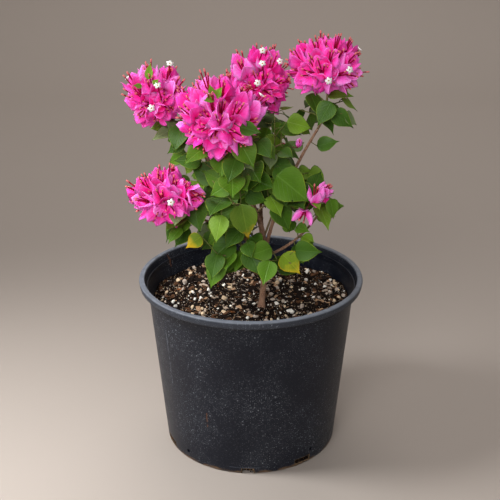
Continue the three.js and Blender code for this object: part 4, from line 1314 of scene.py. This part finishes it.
class BUSH_OT_drain_rims(bpy.types.Operator):
    """Adds the thin moulded edge round each drain opening"""
    bl_idname = "bush.drain_rims"
    bl_label = "Drain edges"

    def execute(self, context):
        store = MeshStore()
        for azimuth, width, low, high in drain_openings():
            half = width / 2
            for side in (-half, half):
                self.strip(store, azimuth, (side, low), (side, high))
            for level in (high, low) if low > 0 else (high,):
                self.strip(store, azimuth, (-half, level), (half, level))
        dusty = plain_material("dusty moulding", colour(122, 100, 76), 0.85, 420.0, 0.9)
        adopt(store.piece("drain_edges", [dusty], smooth=False), "pot_plastic")
        return {"FINISHED"}

    @staticmethod
    def strip(store, azimuth, start, end):
        """A thin bar on the wall from one corner of an opening to another."""
        steps, half_thickness, lowest = 6, 0.0009, 0.0004
        frames = []
        for i in range(steps + 1):
            x = start[0] + (end[0] - start[0]) * i / steps
            z = max(start[1] + (end[1] - start[1]) * i / steps, lowest)
            spot = on_wall(azimuth, x, z, 0.0008)
            outward = Vector((spot.x, spot.y, 0)).normalized()
            run = UP if start[0] == end[0] else UP.cross(outward)
            frames.append((spot, outward, run.cross(outward), run))
        add_tube(store, frames, [half_thickness] * (steps + 1), 4, 0)


# ---------------------------------------------------------------- potting mix

SPILL_DEPTH = (0.0042, 0.0022)  # how deep inside the wall the bits in the drains lie, and how unevenly
FROM_WALL = 0.0024 + 0.0006  # from the pot's outside to the mix
CLODS = ((45, 0.9), (120, 0.5), (320, 0.28))  # fineness and height of the mix's lumps
CHIP_SHARES = (0.66, 0.58, 0.52, 0.80, 1.0)  # chance of each kind once those before it are passed over
CHIPS = (  # kind, colour, roughness, spread
    ("dark chip", (30, 19, 13), 0.92, 0.6), ("brown chip", (98, 66, 44), 0.9, 0.6),
    ("tan chip", (190, 152, 118), 0.9, 0.55), ("grey chip", (186, 164, 144), 0.9, 0.5),
    ("orange chip", (148, 92, 52), 0.9, 0.5),
)
STONES = (
    ("white perlite", (255, 248, 236), 0.25), ("cream perlite", (236, 208, 172), 0.3),
    ("grey pumice", (196, 178, 162), 0.35),
)


def mix_place(x, y, relief):
    """A place on the mix's uneven top."""
    fall = max(0.0, (math.hypot(x, y) - 0.07) / 0.062)
    here = Vector((x, y, 0.3))
    clods = sum(noise.noise(here * fineness) * height for fineness, height in CLODS)
    return Vector((x, y, MIX_TOP - 0.0012 - 0.0028 * fall * fall + clods * relief))


def solid(create, **settings):
    """Points and faces of one of bmesh's own solids."""
    mesh = bmesh.new()
    create(mesh, **settings)
    mesh.verts.ensure_lookup_table()
    shape = [v.co.copy() for v in mesh.verts], [tuple(v.index for v in f.verts) for f in mesh.faces]
    mesh.free()
    return shape


BOX = ([Vector((x, y, z)) for x in (-1, 1) for y in (-1, 1) for z in (-1, 1)],
       [(0, 1, 3, 2), (4, 6, 7, 5), (0, 4, 5, 1), (2, 3, 7, 6), (0, 2, 6, 4), (1, 5, 7, 3)])
GRAIN = ([Vector(p) for p in ((1, 0, 0), (-1, 0, 0), (0, 1, 0), (0, -1, 0), (0, 0, 1), (0, 0, -1))],
         [(0, 2, 4), (2, 1, 4), (1, 3, 4), (3, 0, 4), (2, 0, 5), (1, 2, 5), (3, 1, 5), (0, 3, 5)])
LUMP = solid(bmesh.ops.create_icosphere, subdivisions=1, radius=1.0)


def add_lump(store, spot, size, draw, shape, kind, tumble, rough):
    """One chip or lump: a small solid with uneven corners, turned by chance and half sunk."""
    points, faces = shape
    spin = (Matrix.Rotation(draw() * FULL_TURN, 3, "Z")
            @ Matrix.Rotation((draw() - 0.5) * tumble * 2, 3, "X")
            @ Matrix.Rotation((draw() - 0.5) * tumble * 2, 3, "Y"))
    placed = []
    for point in points:
        corner = point + scattered(draw) * rough * 2
        placed.append(spot + Vector((0, 0, size[2] * 0.25))
                      + spin @ Vector((corner.x * size[0], corner.y * size[1], corner.z * size[2])) * 0.5)
    store.add(placed, faces, kind)


class BUSH_OT_potting_mix(bpy.types.Operator):
    """Fills the pot with dark mix and strews bark, perlite and grains on it"""
    bl_idname = "bush.potting_mix"
    bl_label = "Potting mix"

    def execute(self, context):
        look = context.scene.bush_mix
        self.bed(look)
        self.strewn(look)
        return {"FINISHED"}

    @staticmethod
    def bed(look):
        """The bulk of the mix: a clodded top, a side against the wall and an underside."""
        rings, sides = 64, 160
        edge = wall_outside(MIX_TOP) - FROM_WALL
        circle = [(math.cos(FULL_TURN * j / sides), math.sin(FULL_TURN * j / sides)) for j in range(sides)]
        points = [mix_place(0, 0, look.relief)]
        for i in range(1, rings + 1):
            points += [mix_place(edge * i / rings * x, edge * i / rings * y, look.relief) for x, y in circle]
        for height in (0.1, 0.0036):
            radius = wall_outside(height) - FROM_WALL
            points += [Vector((radius * x, radius * y, height)) for x, y in circle]
        faces = [(0, 1 + j, 1 + (j + 1) % sides) for j in range(sides)]
        for i in range(rings + 1):
            for j in range(sides):
                a, b = 1 + i * sides + j, 1 + i * sides + (j + 1) % sides
                faces.append((a, a + sides, b + sides, b))
        faces.append(tuple(reversed(range(len(points) - sides, len(points)))))
        store = MeshStore()
        store.add(points, faces, 0)
        adopt(store.piece("potting_mix_bed", [earth_material()]), "potting_mix", "potting_mix")

    @staticmethod
    def strewn(look):
        """Bark chips, perlite lumps and small grains, each kind in its own colours."""
        draw = random_stream(look.seed)
        edge = wall_outside(MIX_TOP) - 0.0024 - 0.0012
        foot = trunk_point(0.0)
        chips, perlite = MeshStore(), MeshStore()

        def spot(margin):
            while True:
                radius = math.sqrt(draw()) * (edge - margin)
                turn = draw() * FULL_TURN
                x, y = radius * math.cos(turn), radius * math.sin(turn)
                if math.hypot(x - foot.x, y - foot.y) > 0.0065 + margin:
                    return mix_place(x, y, look.relief)

        def chip_kind():
            return next(i for i, share in enumerate(CHIP_SHARES) if draw() < share)

        for _ in range(look.chips):
            long = 0.0022 + 0.0108 * draw() ** 2.8
            size = (long, long * (0.25 + 0.45 * draw()), 0.0007 + long * 0.14 * draw())
            kind = chip_kind()
            add_lump(chips, spot(long * 0.5), size, draw, BOX, kind, 0.45, 0.3)
        for _ in range(look.lumps):
            long = 0.0017 + 0.0074 * draw() ** 2.9
            size = (long, long * (0.6 + 0.35 * draw()), long * (0.45 + 0.4 * draw()))
            place = spot(long * 0.5)
            add_lump(perlite, place, size, draw, LUMP, int(draw() * 3), 0.9, 0.22)
        for _ in range(look.grains):
            long = 0.0006 + 0.0007 * draw()
            place = spot(long)
            add_lump(perlite, place, (long, long * 0.9, long * 0.8), draw, GRAIN, int(draw() * 3), 1.5, 0.15)
        for azimuth, width, low, high in drain_openings():
            for _ in range(look.spilled):
                x, z = (draw() - 0.5) * width * 1.05, between((max(low, 0.002), high), draw())
                at = on_wall(azimuth, x, z, SPILL_DEPTH[0] - SPILL_DEPTH[1] * draw())
                long = 0.0014 + 0.0022 * draw()
                kind = chip_kind()
                add_lump(chips, at, (long, long * 0.7, long * 0.6), draw, BOX, kind, 1.5, 0.3)
        barks = [plain_material(name, colour(*tint), roughness, 500.0, spread, 0.0004)
                 for name, tint, roughness, spread in CHIPS]
        stones = [plain_material(name, colour(*tint), 0.9, 900.0, spread, 0.0003)
                  for name, tint, spread in STONES]
        adopt(chips.piece("bark_chips", barks, smooth=False), "potting_mix")
        adopt(perlite.piece("perlite", stones, smooth=False), "potting_mix")


# ------------------------------------------------------------------------ wood

WOOD = {  # rings along the limb, and from one leaf scar to the next
    "trunk": (150, 0.021), "bough": (80, 0.017),
}
TWIG_RADII = [0.0009 - 0.00006 * i for i in range(6)]
FINE_TWIG_RADII = [0.0008 - 0.00005 * i for i in range(5)]
LEAF_STALK_RADII = [0.00062, 0.00052, 0.0005, 0.00058]
FLOWER_STALK_RADII = [0.0009, 0.0008, 0.0007, 0.0006, 0.00055, 0.0007]
STEM_STEPS, STEM_TAPER = 14, 0.35


class BUSH_OT_wood(bpy.types.Operator):
    """Builds the trunk and boughs with their bark's relief"""
    bl_idname = "bush.wood"
    bl_label = "Trunk and boughs"

    def execute(self, context):
        look = context.scene.bush_wood
        store = MeshStore()
        for name, limb in PLANT.limbs.items():
            steps, scars = WOOD["trunk" if name == "trunk" else "bough"]
            frames = frames_along(limb.curve, steps)

            def relief(side, origin, scars=scars, name=name):
                turn = FULL_TURN * side / look.sides
                spot = Vector((math.cos(turn) * 2.2, math.sin(turn) * 2.2, origin.z * 260 + len(name)))
                wart = max(0.0, noise.noise(spot * 0.9)) * 1.6 + noise.noise(spot * 2.3) * 0.6
                node_at = abs(((origin.z / scars) % 1.0) - 0.5)
                knot = max(0.0, 1 - abs(node_at - 0.5) * 9) * (0.5 + 0.5 * math.cos(turn + origin.z * 120))
                return (wart + knot * 1.9) * look.relief

            radii = [limb.radius(i / steps) for i in range(steps + 1)]
            add_tube(store, frames, radii, look.sides, 0, (False, True), relief)
        bark = bark_material("bark", opaque(look.bark_colour), colour(92, 60, 42), colour(186, 150, 122))
        adopt(store.piece("trunk_and_boughs", [bark]), "bark", *PLANT.limbs)
        return {"FINISHED"}


class BUSH_OT_twigs(bpy.types.Operator):
    """Builds stems, twigs, leaf stalks and flower stalks"""
    bl_idname = "bush.twigs"
    bl_label = "Twigs"

    def execute(self, context):
        look = context.scene.bush_wood
        store = MeshStore()
        for growth in PLANT.growth:
            stem = growth["stem"]
            start = min(0.0015 / stem.length, 0.1) if growth["mass"]["at"] == 1 else 0.0
            steps, slimmer = STEM_STEPS, 0 if "head" in growth["mass"] else STEM_TAPER
            frames = frames_along(stem.curve, steps, start * 0.2)
            radii = [stem.radius(i / steps) * (1 - slimmer * i / steps) for i in range(steps + 1)]
            add_tube(store, frames, radii, 8, 0)
            for curve in growth["twigs"]:
                add_tube(store, frames_along(curve, 5), TWIG_RADII, 6, 1)
            self.leaf_stalks(store, growth["leaves"])
            for floret in growth["florets"]:
                if "stalk" in floret:
                    start = floret["stalk"]
                    fork = (start + floret["root"]) * 0.5 - floret["axis"] * 0.003
                else:
                    centre = Vector(growth["mass"]["head"]["centre"])
                    away = floret["root"] - centre
                    start = centre - UP * 0.004
                    fork = centre + Vector((away.x * 0.25, away.y * 0.25, away.z * 0.25 - 0.002))
                curve = bowed(start, fork, floret["root"])
                add_tube(store, frames_along(curve, 5), FLOWER_STALK_RADII, 5, 2)
        for curve in PLANT.fine_twigs:
            add_tube(store, frames_along(curve, 4), FINE_TWIG_RADII, 6, 1)
        self.leaf_stalks(store, PLANT.fine_leaves)
        materials = [
            bark_material("young bark", colour(128, 104, 66), colour(86, 70, 42), colour(160, 142, 100)),
            plain_material("green shoot", opaque(look.shoot_colour), 0.6, 600.0, 0.35),
            plain_material("flower stalk", colour(150, 70, 78), 0.6, 600.0, 0.35),
        ]
        adopt(store.piece("twigs", materials), "foliage")
        return {"FINISHED"}

    @staticmethod
    def leaf_stalks(store, leaves):
        """The stalks that carry these leaves."""
        for leaf in leaves:
            middle = (leaf["at"] + leaf["root"]) * 0.5 + UP * (leaf["length"] * 0.02)
            curve = bowed(leaf["at"], middle, leaf["root"])
            add_tube(store, frames_along(curve, 3), LEAF_STALK_RADII, 5, 1)


# ---------------------------------------------------------------------- leaves

BLADE_STATIONS = (  # along, half width of a leaf and of a bract, as shares
    (0.0, 0.10, 0.16), (0.06, 0.58, 0.58), (0.17, 0.92, 0.88), (0.33, 1.0, 1.0), (0.50, 0.88, 0.97),
    (0.67, 0.56, 0.80), (0.85, 0.15, 0.40), (1.0, 0.0, 0.0),
)
LEAF_COLUMNS = (-1.0, -0.92, -0.45, 0.0, 0.45, 0.92, 1.0)
BRACT_COLUMNS = (-1.0, -0.5, 0.0, 0.5, 1.0)
WAVES, OTHER_EDGE = 9, 2.2  # the ripple's run from root to tip, and how far one edge is behind


def add_blade(store, blade, form, columns, kinds, draw):
    """A thin closed blade: a shaped upper side, and an under side close below it.

    `form` gives half_width, fold, droop, curl, ripple, thickness and the column of
    BLADE_STATIONS. `kinds` are the upper side's, the edge's and the under side's.
    """
    direction, face = blade["direction"], blade["face"]
    across = direction.cross(face)
    length, root = blade["length"], blade["root"]
    width = length * form["half_width"]
    phase, swing = draw() * FULL_TURN, (draw() - 0.5) * form["twist"]
    points, uvs = [], []
    for row, station in enumerate(BLADE_STATIONS):
        t, share = station[0], station[form["stations"]]
        for u in columns:
            side = u * share * width
            crease = min(abs(u) * 1.6, 1.0)
            rise = abs(side) * form["fold"] * crease - t * t * length * form["droop"]
            wave = math.sin(phase + t * WAVES + (OTHER_EDGE if u > 0 else 0.0))
            rise += form["ripple"] * length * abs(u) ** 2 * wave
            rise += side * swing * t - form["curl"] * side * side / max(width, 1e-6)
            points.append(root + direction * (t * length) + across * side + face * rise)
            uvs.append((t, 0.5 + 0.5 * u * share))
    count = len(columns)
    faces, chosen = [], []
    last = len(BLADE_STATIONS) - 1
    for row in range(last):
        for column in range(count - 1):
            a = row * count + column
            corners = (a, a + 1, a + 1 + count, a + count)
            if row == last - 1:
                corners = (a, a + 1, last * count + count // 2)
            faces.append(corners)
            on_edge = form["edged"] and column in (0, count - 2)
            chosen.append(kinds[1] if on_edge else kinds[0])
    inner = [column for column in range(1, count - 1) if abs(columns[column]) < 0.9]
    under = len(points)
    for row in range(last):
        for column in inner:
            points.append(points[row * count + column] - face * form["thickness"])
            uvs.append(uvs[row * count + column])

    def under_side(row):
        low = under + row * len(inner)
        return [row * count] + [low + i for i in range(len(inner))] + [row * count + count - 1]

    tip = last * count + count // 2
    for row in range(last):
        here = under_side(row)
        for i in range(len(here) - 1):
            ahead = (tip,) if row == last - 1 else (under_side(row + 1)[i], under_side(row + 1)[i + 1])
            faces.append((here[i], *ahead, here[i + 1]))
            chosen.append(kinds[2])
    faces.append(tuple(under_side(0)) + tuple(range(count - 2, 0, -1)))
    chosen.append(kinds[2])
    store.add(points, faces, chosen, uvs)


def young_leaf(root, tip):
    """A small leaf from its root to its tip, its face towards the front."""
    root, tip = Vector(root), Vector(tip)
    direction = (tip - root).normalized()
    return dict(root=root, direction=direction, face=square_to(Vector((0.15, -0.85, 0.45)), direction),
                length=(tip - root).length, shade=0.5, kind="young")


LEAF_FORM = dict(half_width=0.385, fold=0.22, droop=0.12, curl=0.10, twist=0.5, stations=1, edged=True)
NAMED_WIDTHS = {"young": 0.25, "mid": 0.45, "turning": 0.43, "tipped": 0.37}
LEAF_SHADES = ((0.42, "dark"), (0.80, "mid"), (0.93, "light"), (1.01, "grey"))  # up to which shade
LEAF_KINDS = {  # the materials of the upper side, the edge and the under side
    "dark": (0, 5, 6), "mid": (1, 5, 6), "light": (2, 5, 6), "grey": (3, 5, 6), "turning": (4, 7, 8),
    "young": (9, 5, 9), "tipped": (10, 5, 6),
}


class BUSH_OT_leaves(bpy.types.Operator):
    """Builds every leaf, each with a folded blade, a pale edge and an under side"""
    bl_idname = "bush.leaves"
    bl_label = "Leaves"

    def execute(self, context):
        look = context.scene.bush_leaf
        store = MeshStore()
        draw = random_stream(1201)
        young = [young_leaf(root, tip) for root, tip in YOUNG_LEAVES]
        for leaves in [growth["leaves"] for growth in PLANT.growth] + [PLANT.fine_leaves, young]:
            for leaf in leaves:
                kind = leaf["kind"] or next(kind for top, kind in LEAF_SHADES if leaf["shade"] < top)
                half_width = LEAF_FORM["half_width"] * (0.92 + 0.2 * draw())
                form = dict(LEAF_FORM, ripple=look.ripple, thickness=look.thickness,
                            half_width=NAMED_WIDTHS.get(leaf["kind"], half_width),
                            droop=0.04 + 0.16 * draw())
                add_blade(store, leaf, form, LEAF_COLUMNS, LEAF_KINDS[kind], draw)
        dark, mid, light = map(opaque, (look.dark_colour, look.mid_colour, look.light_colour))
        materials = [
            leaf_material("dark leaf", dark, colour(104, 140, 62), 0.37),
            leaf_material("green leaf", mid, colour(128, 164, 74), 0.38),
            leaf_material("light leaf", light, colour(164, 192, 104), 0.42),
            leaf_material("grey leaf", colour(118, 136, 88), colour(156, 170, 120), 0.5),
            leaf_material("turning leaf", colour(126, 160, 26), colour(186, 196, 60), 0.46,
                          tip=colour(252, 204, 36)),
            leaf_material("leaf edge", colour(84, 122, 30), colour(140, 160, 60), 0.5,
                          tip=colour(158, 180, 48)),
            leaf_material("leaf under side", colour(104, 130, 76), colour(150, 166, 108), 0.6),
            plain_material("yellow edge", colour(226, 200, 44), 0.5, 120.0, 0.35, 0.0),
            leaf_material("turning under side", colour(160, 172, 60), colour(206, 200, 96), 0.6),
            leaf_material("young leaf", colour(132, 182, 48), colour(176, 206, 96), 0.5),
            leaf_material("tipped leaf", colour(86, 118, 24), colour(140, 160, 60), 0.46,
                          tip=colour(220, 160, 34), turned_from=0.74),
        ]
        adopt(store.piece("leaves", materials), "foliage", *[mass["name"] for mass in MASSES])
        return {"FINISHED"}


# ---------------------------------------------------------------------- blooms

def add_flower_tube(store, start, way, length, radius, kinds):
    """A slim tube that swells a little at its foot and at its tip."""
    side = sideways(way, start.x * 900)
    bent = start + way * (length * 0.55) + side * (length * 0.04)
    curve = bowed(start, bent, start + way * length)
    shares = (0.85, 1.0, 0.88, 0.80, 0.84, 1.00, 1.08, 0.6)
    places = (0.0, 0.16, 0.36, 0.6, 0.76, 0.85, 0.95, 1.0)
    frames = [frames_along(curve, 1, t, min(t + 0.001, 1.0))[0] for t in places]
    add_tube(store, frames[:6], [radius * s for s in shares[:6]], 5, kinds[0], (True, False))
    add_tube(store, frames[5:], [radius * s for s in shares[5:]], 5, kinds[1], (False, True))


def add_star(store, centre, way, radius, roll, kinds):
    """An open star of five round lobes with a sunk throat."""
    points = [centre - way * (radius * 0.20)]
    lobes = ((0.58, 0.16), (0.92, 0.10), (1.0, 0.06), (0.92, 0.10))
    rim = 5 * len(lobes)
    for i in range(rim):
        reach, lift = lobes[i % len(lobes)]
        ray = sideways(way, roll + FULL_TURN * i / rim)
        points.append(centre + ray * (radius * reach) + way * (radius * lift))
    for i in range(5):
        ray = sideways(way, roll + FULL_TURN * i / 5)
        points.append(centre + ray * (radius * 0.24) + way * (radius * 0.04))
    inner = 1 + rim
    faces = [(0, inner + i, inner + (i + 1) % 5) for i in range(5)]
    chosen = [kinds[1]] * 5
    for i in range(5):
        lobe = [1 + (4 * i + j) % rim for j in range(5)]
        faces.append((inner + i, *lobe, inner + (i + 1) % 5))
        chosen.append(kinds[0])
    back = len(points)
    points.append(centre - way * (radius * 0.45))
    for i in range(rim):
        faces.append((back, 1 + (i + 1) % rim, 1 + i))
        chosen.append(kinds[0])
    store.add(points, faces, chosen)


BRACT_FORM = dict(half_width=0.46, fold=0.08, curl=0.60, ripple=0.05, twist=0.6, thickness=0.00022,
                  stations=2, edged=False)
BRACT_TINTS = (0.55, 0.8)  # from which tint a bract is deep, and from which it is pale
BUD_WIDTH = 0.66  # bracts of a floret on a stalk of its own are slimmer by this
TUBE = {"lean": 0.9, "foot": 0.10, "hanging": 0.68, "upright": 1.16, "radius": 0.00108}
STAR = {"radius": 0.0049, "gap": 0.0004, "lift": 0.0016}


class BUSH_OT_blooms(bpy.types.Operator):
    """Builds the heads: papery bracts in threes, slim tubes inside them and open stars"""
    bl_idname = "bush.blooms"
    bl_label = "Blooms"

    def execute(self, context):
        look = context.scene.bush_bloom
        bracts, flowers, tubes = MeshStore(), MeshStore(), []
        draw = random_stream(77)
        for floret in [floret for growth in PLANT.growth for floret in growth["florets"]]:
            root, axis, on_stalk = floret["root"], floret["axis"], "stalk" in floret
            tint = floret.get("tint", draw())
            kind = sum(tint >= start for start in BRACT_TINTS)
            for bract in bracts_of(floret):
                half_width = BRACT_FORM["half_width"] * (0.92 + 0.16 * draw())
                half_width *= BUD_WIDTH if on_stalk else 1.0
                form = dict(BRACT_FORM, half_width=half_width, droop=-0.10 + 0.18 * draw())
                bract["root"] = root + (bract["direction"] - axis * 0.4) * 0.0010
                add_blade(bracts, bract, form, BRACT_COLUMNS, (kind, kind, kind), draw)
                lean = (axis * TUBE["lean"] + bract["direction"] * (0.15 + 0.3 * draw())).normalized()
                start = root + bract["direction"] * (floret["length"] * TUBE["foot"])
                length = floret["length"] * look.tube_length * (0.8 + 0.42 * draw())
                if not on_stalk:
                    length *= TUBE["hanging" if axis.z < -0.2 else "upright"]
                radius = TUBE["radius"] * (0.85 + 0.3 * draw())
                tubes.append(dict(start=start, way=lean, length=length, radius=radius,
                                  opened=draw() < look.open_share and lean.y > 0.1))
        for spot in map(Vector, OPEN_FLOWERS):
            nearest = min(tubes, key=lambda tube: (
                tube["start"] + tube["way"] * tube["length"] - spot).length)
            nearest["spot"] = spot
        for tube in tubes:
            if "spot" in tube:
                tube["way"] = (tube["spot"] - tube["start"]).normalized()
                tube["length"] = (tube["spot"] - tube["start"]).length
            start, way, length = tube["start"], tube["way"], tube["length"]
            opened = tube["opened"] or "spot" in tube
            add_flower_tube(flowers, start, way, length, tube["radius"], (0, 0 if opened else 1))
            if opened:
                front = Vector((0, -0.9, 0.4)) if "spot" in tube else Vector()
                facing = (way + front).normalized()
                end = start + way * (length + STAR["gap"])
                add_star(flowers, end + facing * STAR["lift"], facing, STAR["radius"], draw() * 6, (2, 3))
        bract_materials = [
            bract_material("bract", opaque(look.bract_colour), colour(255, 128, 228), colour(226, 0, 112)),
            bract_material("deep bract", colour(255, 34, 160), colour(255, 88, 204), colour(200, 0, 96)),
            bract_material("pale bract", colour(255, 102, 214), colour(255, 170, 240), colour(226, 30, 140)),
        ]
        flower_materials = [
            plain_material("flower tube", colour(168, 18, 62), 0.55, 500.0, 0.40),
            plain_material("flower tip", colour(236, 128, 128), 0.55, 500.0, 0.25),
            plain_material("star", colour(255, 255, 248), 0.6, 500.0, 0.05),
            plain_material("star throat", colour(196, 160, 70), 0.6, 500.0, 0.2),
        ]
        adopt(bracts.piece("bracts", bract_materials), "bracts")
        adopt(flowers.piece("flowers", flower_materials), "bracts")
        return {"FINISHED"}


# ----------------------------------------------------------------------- stage

LAMPS = (  # name, place, what it looks at, size, power, colour, spread in degrees
    ("key", (-1.1, -0.2, 1.3), (-0.35, -0.3, 0.0), 0.5, 5.6, (0.95, 0.98, 1.0), 65),
    ("front", (-0.6, -2.1, 1.4), (0.0, 0.0, 0.25), 1.3, 4.4, (0.985, 0.99, 1.0), 60),
    ("over", (0.0, 1.9, 3.2), (0.0, 1.9, 0.0), 2.6, 50, (1.0, 0.97, 0.95), 180),
)
ROOM_COLOUR, ROOM_STRENGTH = (0.84, 0.83, 0.83, 1.0), 0.42
SWEEP = {"size": (9, 5.2, 1), "place": (0, -0.6, -0.0004), "steps": 12, "radius": 0.9, "height": 3}
SENSOR_WIDTH = 36
LOOK_ASIDE = -0.0012


def area_light(name, location, target, size, power, tint, spread):
    """A round soft lamp that looks at a place."""
    light = bpy.data.lights.new(name, "AREA")
    light.shape = "DISK"
    light.size = size
    light.spread = math.radians(spread)
    light.energy = power
    light.color = tint
    lamp = bpy.data.objects.new(name, light)
    lamp.location = location
    lamp.rotation_euler = (Vector(target) - Vector(location)).to_track_quat("-Z", "Y").to_euler()
    bpy.context.scene.collection.objects.link(lamp)


class BUSH_OT_stage(bpy.types.Operator):
    """Sets the floor, backdrop, lights and camera"""
    bl_idname = "bush.stage"
    bl_label = "Stage"

    def execute(self, context):
        look = context.scene.bush_stage
        self.sweep(look)
        context.scene.view_settings.view_transform = "Standard"
        for lamp in LAMPS:
            area_light(*lamp)
        world = bpy.data.worlds.new("soft room")
        world.use_nodes = True
        back = world.node_tree.nodes["Background"]
        back.inputs["Color"].default_value = ROOM_COLOUR
        back.inputs["Strength"].default_value = ROOM_STRENGTH
        context.scene.world = world
        self.camera(look)
        return {"FINISHED"}

    @staticmethod
    def sweep(look):
        """A floor that curves up into a backdrop."""
        clear_selection()
        bpy.ops.mesh.primitive_plane_add(size=1, location=(0, 0, 0))
        floor = bpy.context.object
        floor.name = "floor_and_backdrop"
        floor.scale, floor.location = SWEEP["size"], SWEEP["place"]
        settle(floor)
        bpy.ops.object.mode_set(mode="EDIT")
        bpy.ops.mesh.select_mode(type="EDGE")
        bpy.ops.mesh.select_all(action="DESELECT")
        bpy.ops.object.mode_set(mode="OBJECT")
        for edge in floor.data.edges:
            edge.select = all(floor.data.vertices[i].co.y > 0 for i in edge.vertices)
        bpy.ops.object.mode_set(mode="EDIT")
        steps, radius = SWEEP["steps"], SWEEP["radius"]
        for i in range(steps):
            a0, a1 = (math.pi / 2 * j / steps for j in (i, i + 1))
            move = (0, radius * (math.sin(a1) - math.sin(a0)), radius * (math.cos(a0) - math.cos(a1)))
            bpy.ops.mesh.extrude_edges_move(TRANSFORM_OT_translate={"value": move})
        bpy.ops.mesh.extrude_edges_move(TRANSFORM_OT_translate={"value": (0, 0, SWEEP["height"])})
        bpy.ops.object.mode_set(mode="OBJECT")
        smooth_by_angle(floor, 40)
        floor.data.materials.append(sweep_material(look.floor_colour))

    @staticmethod
    def camera(look):
        """The camera in front of the plant, looking down at its middle."""
        camera = bpy.data.cameras.new("camera")
        camera.lens = look.lens
        camera.sensor_width = SENSOR_WIDTH
        eye = bpy.data.objects.new("camera", camera)
        target = Vector((LOOK_ASIDE, 0, look.height))
        back = Vector((0, -math.cos(look.elevation), math.sin(look.elevation)))
        eye.location = target + back * look.distance
        eye.rotation_euler = (math.pi / 2 - look.elevation, 0, 0)
        bpy.context.scene.collection.objects.link(eye)
        bpy.context.scene.camera = eye


# ---------------------------------------------------------------------- add-on

class BUSH_PT_panel(bpy.types.Panel):
    """Buttons for each piece"""
    bl_idname = "BUSH_PT_panel"
    bl_label = "Potted bougainvillea"
    bl_space_type = "VIEW_3D"
    bl_region_type = "UI"
    bl_category = "Bush"

    def draw(self, context):
        for operator in OPERATORS:
            self.layout.operator(operator.bl_idname)
        for key in SETTINGS:
            settings = getattr(context.scene, key)
            box = self.layout.box()
            for name in settings.__annotations__:
                box.prop(settings, name)


OPERATORS = (BUSH_OT_stage, BUSH_OT_pot, BUSH_OT_drain_rims, BUSH_OT_potting_mix, BUSH_OT_wood, BUSH_OT_twigs,
             BUSH_OT_leaves, BUSH_OT_blooms)
SETTINGS = {
    "bush_stage": BushStageSettings,
    "bush_pot": BushPotSettings,
    "bush_mix": BushMixSettings,
    "bush_wood": BushWoodSettings,
    "bush_leaf": BushLeafSettings,
    "bush_bloom": BushBloomSettings,
}


def register():
    for group in SETTINGS.values():
        bpy.utils.register_class(group)
    for operator in OPERATORS:
        bpy.utils.register_class(operator)
    bpy.utils.register_class(BUSH_PT_panel)
    for key, group in SETTINGS.items():
        setattr(bpy.types.Scene, key, bpy.props.PointerProperty(type=group))


def unregister():
    for key in SETTINGS:
        delattr(bpy.types.Scene, key)
    for cls in (BUSH_PT_panel, *reversed(OPERATORS), *reversed(list(SETTINGS.values()))):
        bpy.utils.unregister_class(cls)


def main():
    register()
    bpy.ops.bush.stage()
    bpy.ops.bush.pot()
    bpy.ops.bush.drain_rims()
    bpy.ops.bush.potting_mix()
    bpy.ops.bush.wood()
    bpy.ops.bush.twigs()
    bpy.ops.bush.leaves()
    bpy.ops.bush.blooms()


if __name__ == "__main__":
    main()
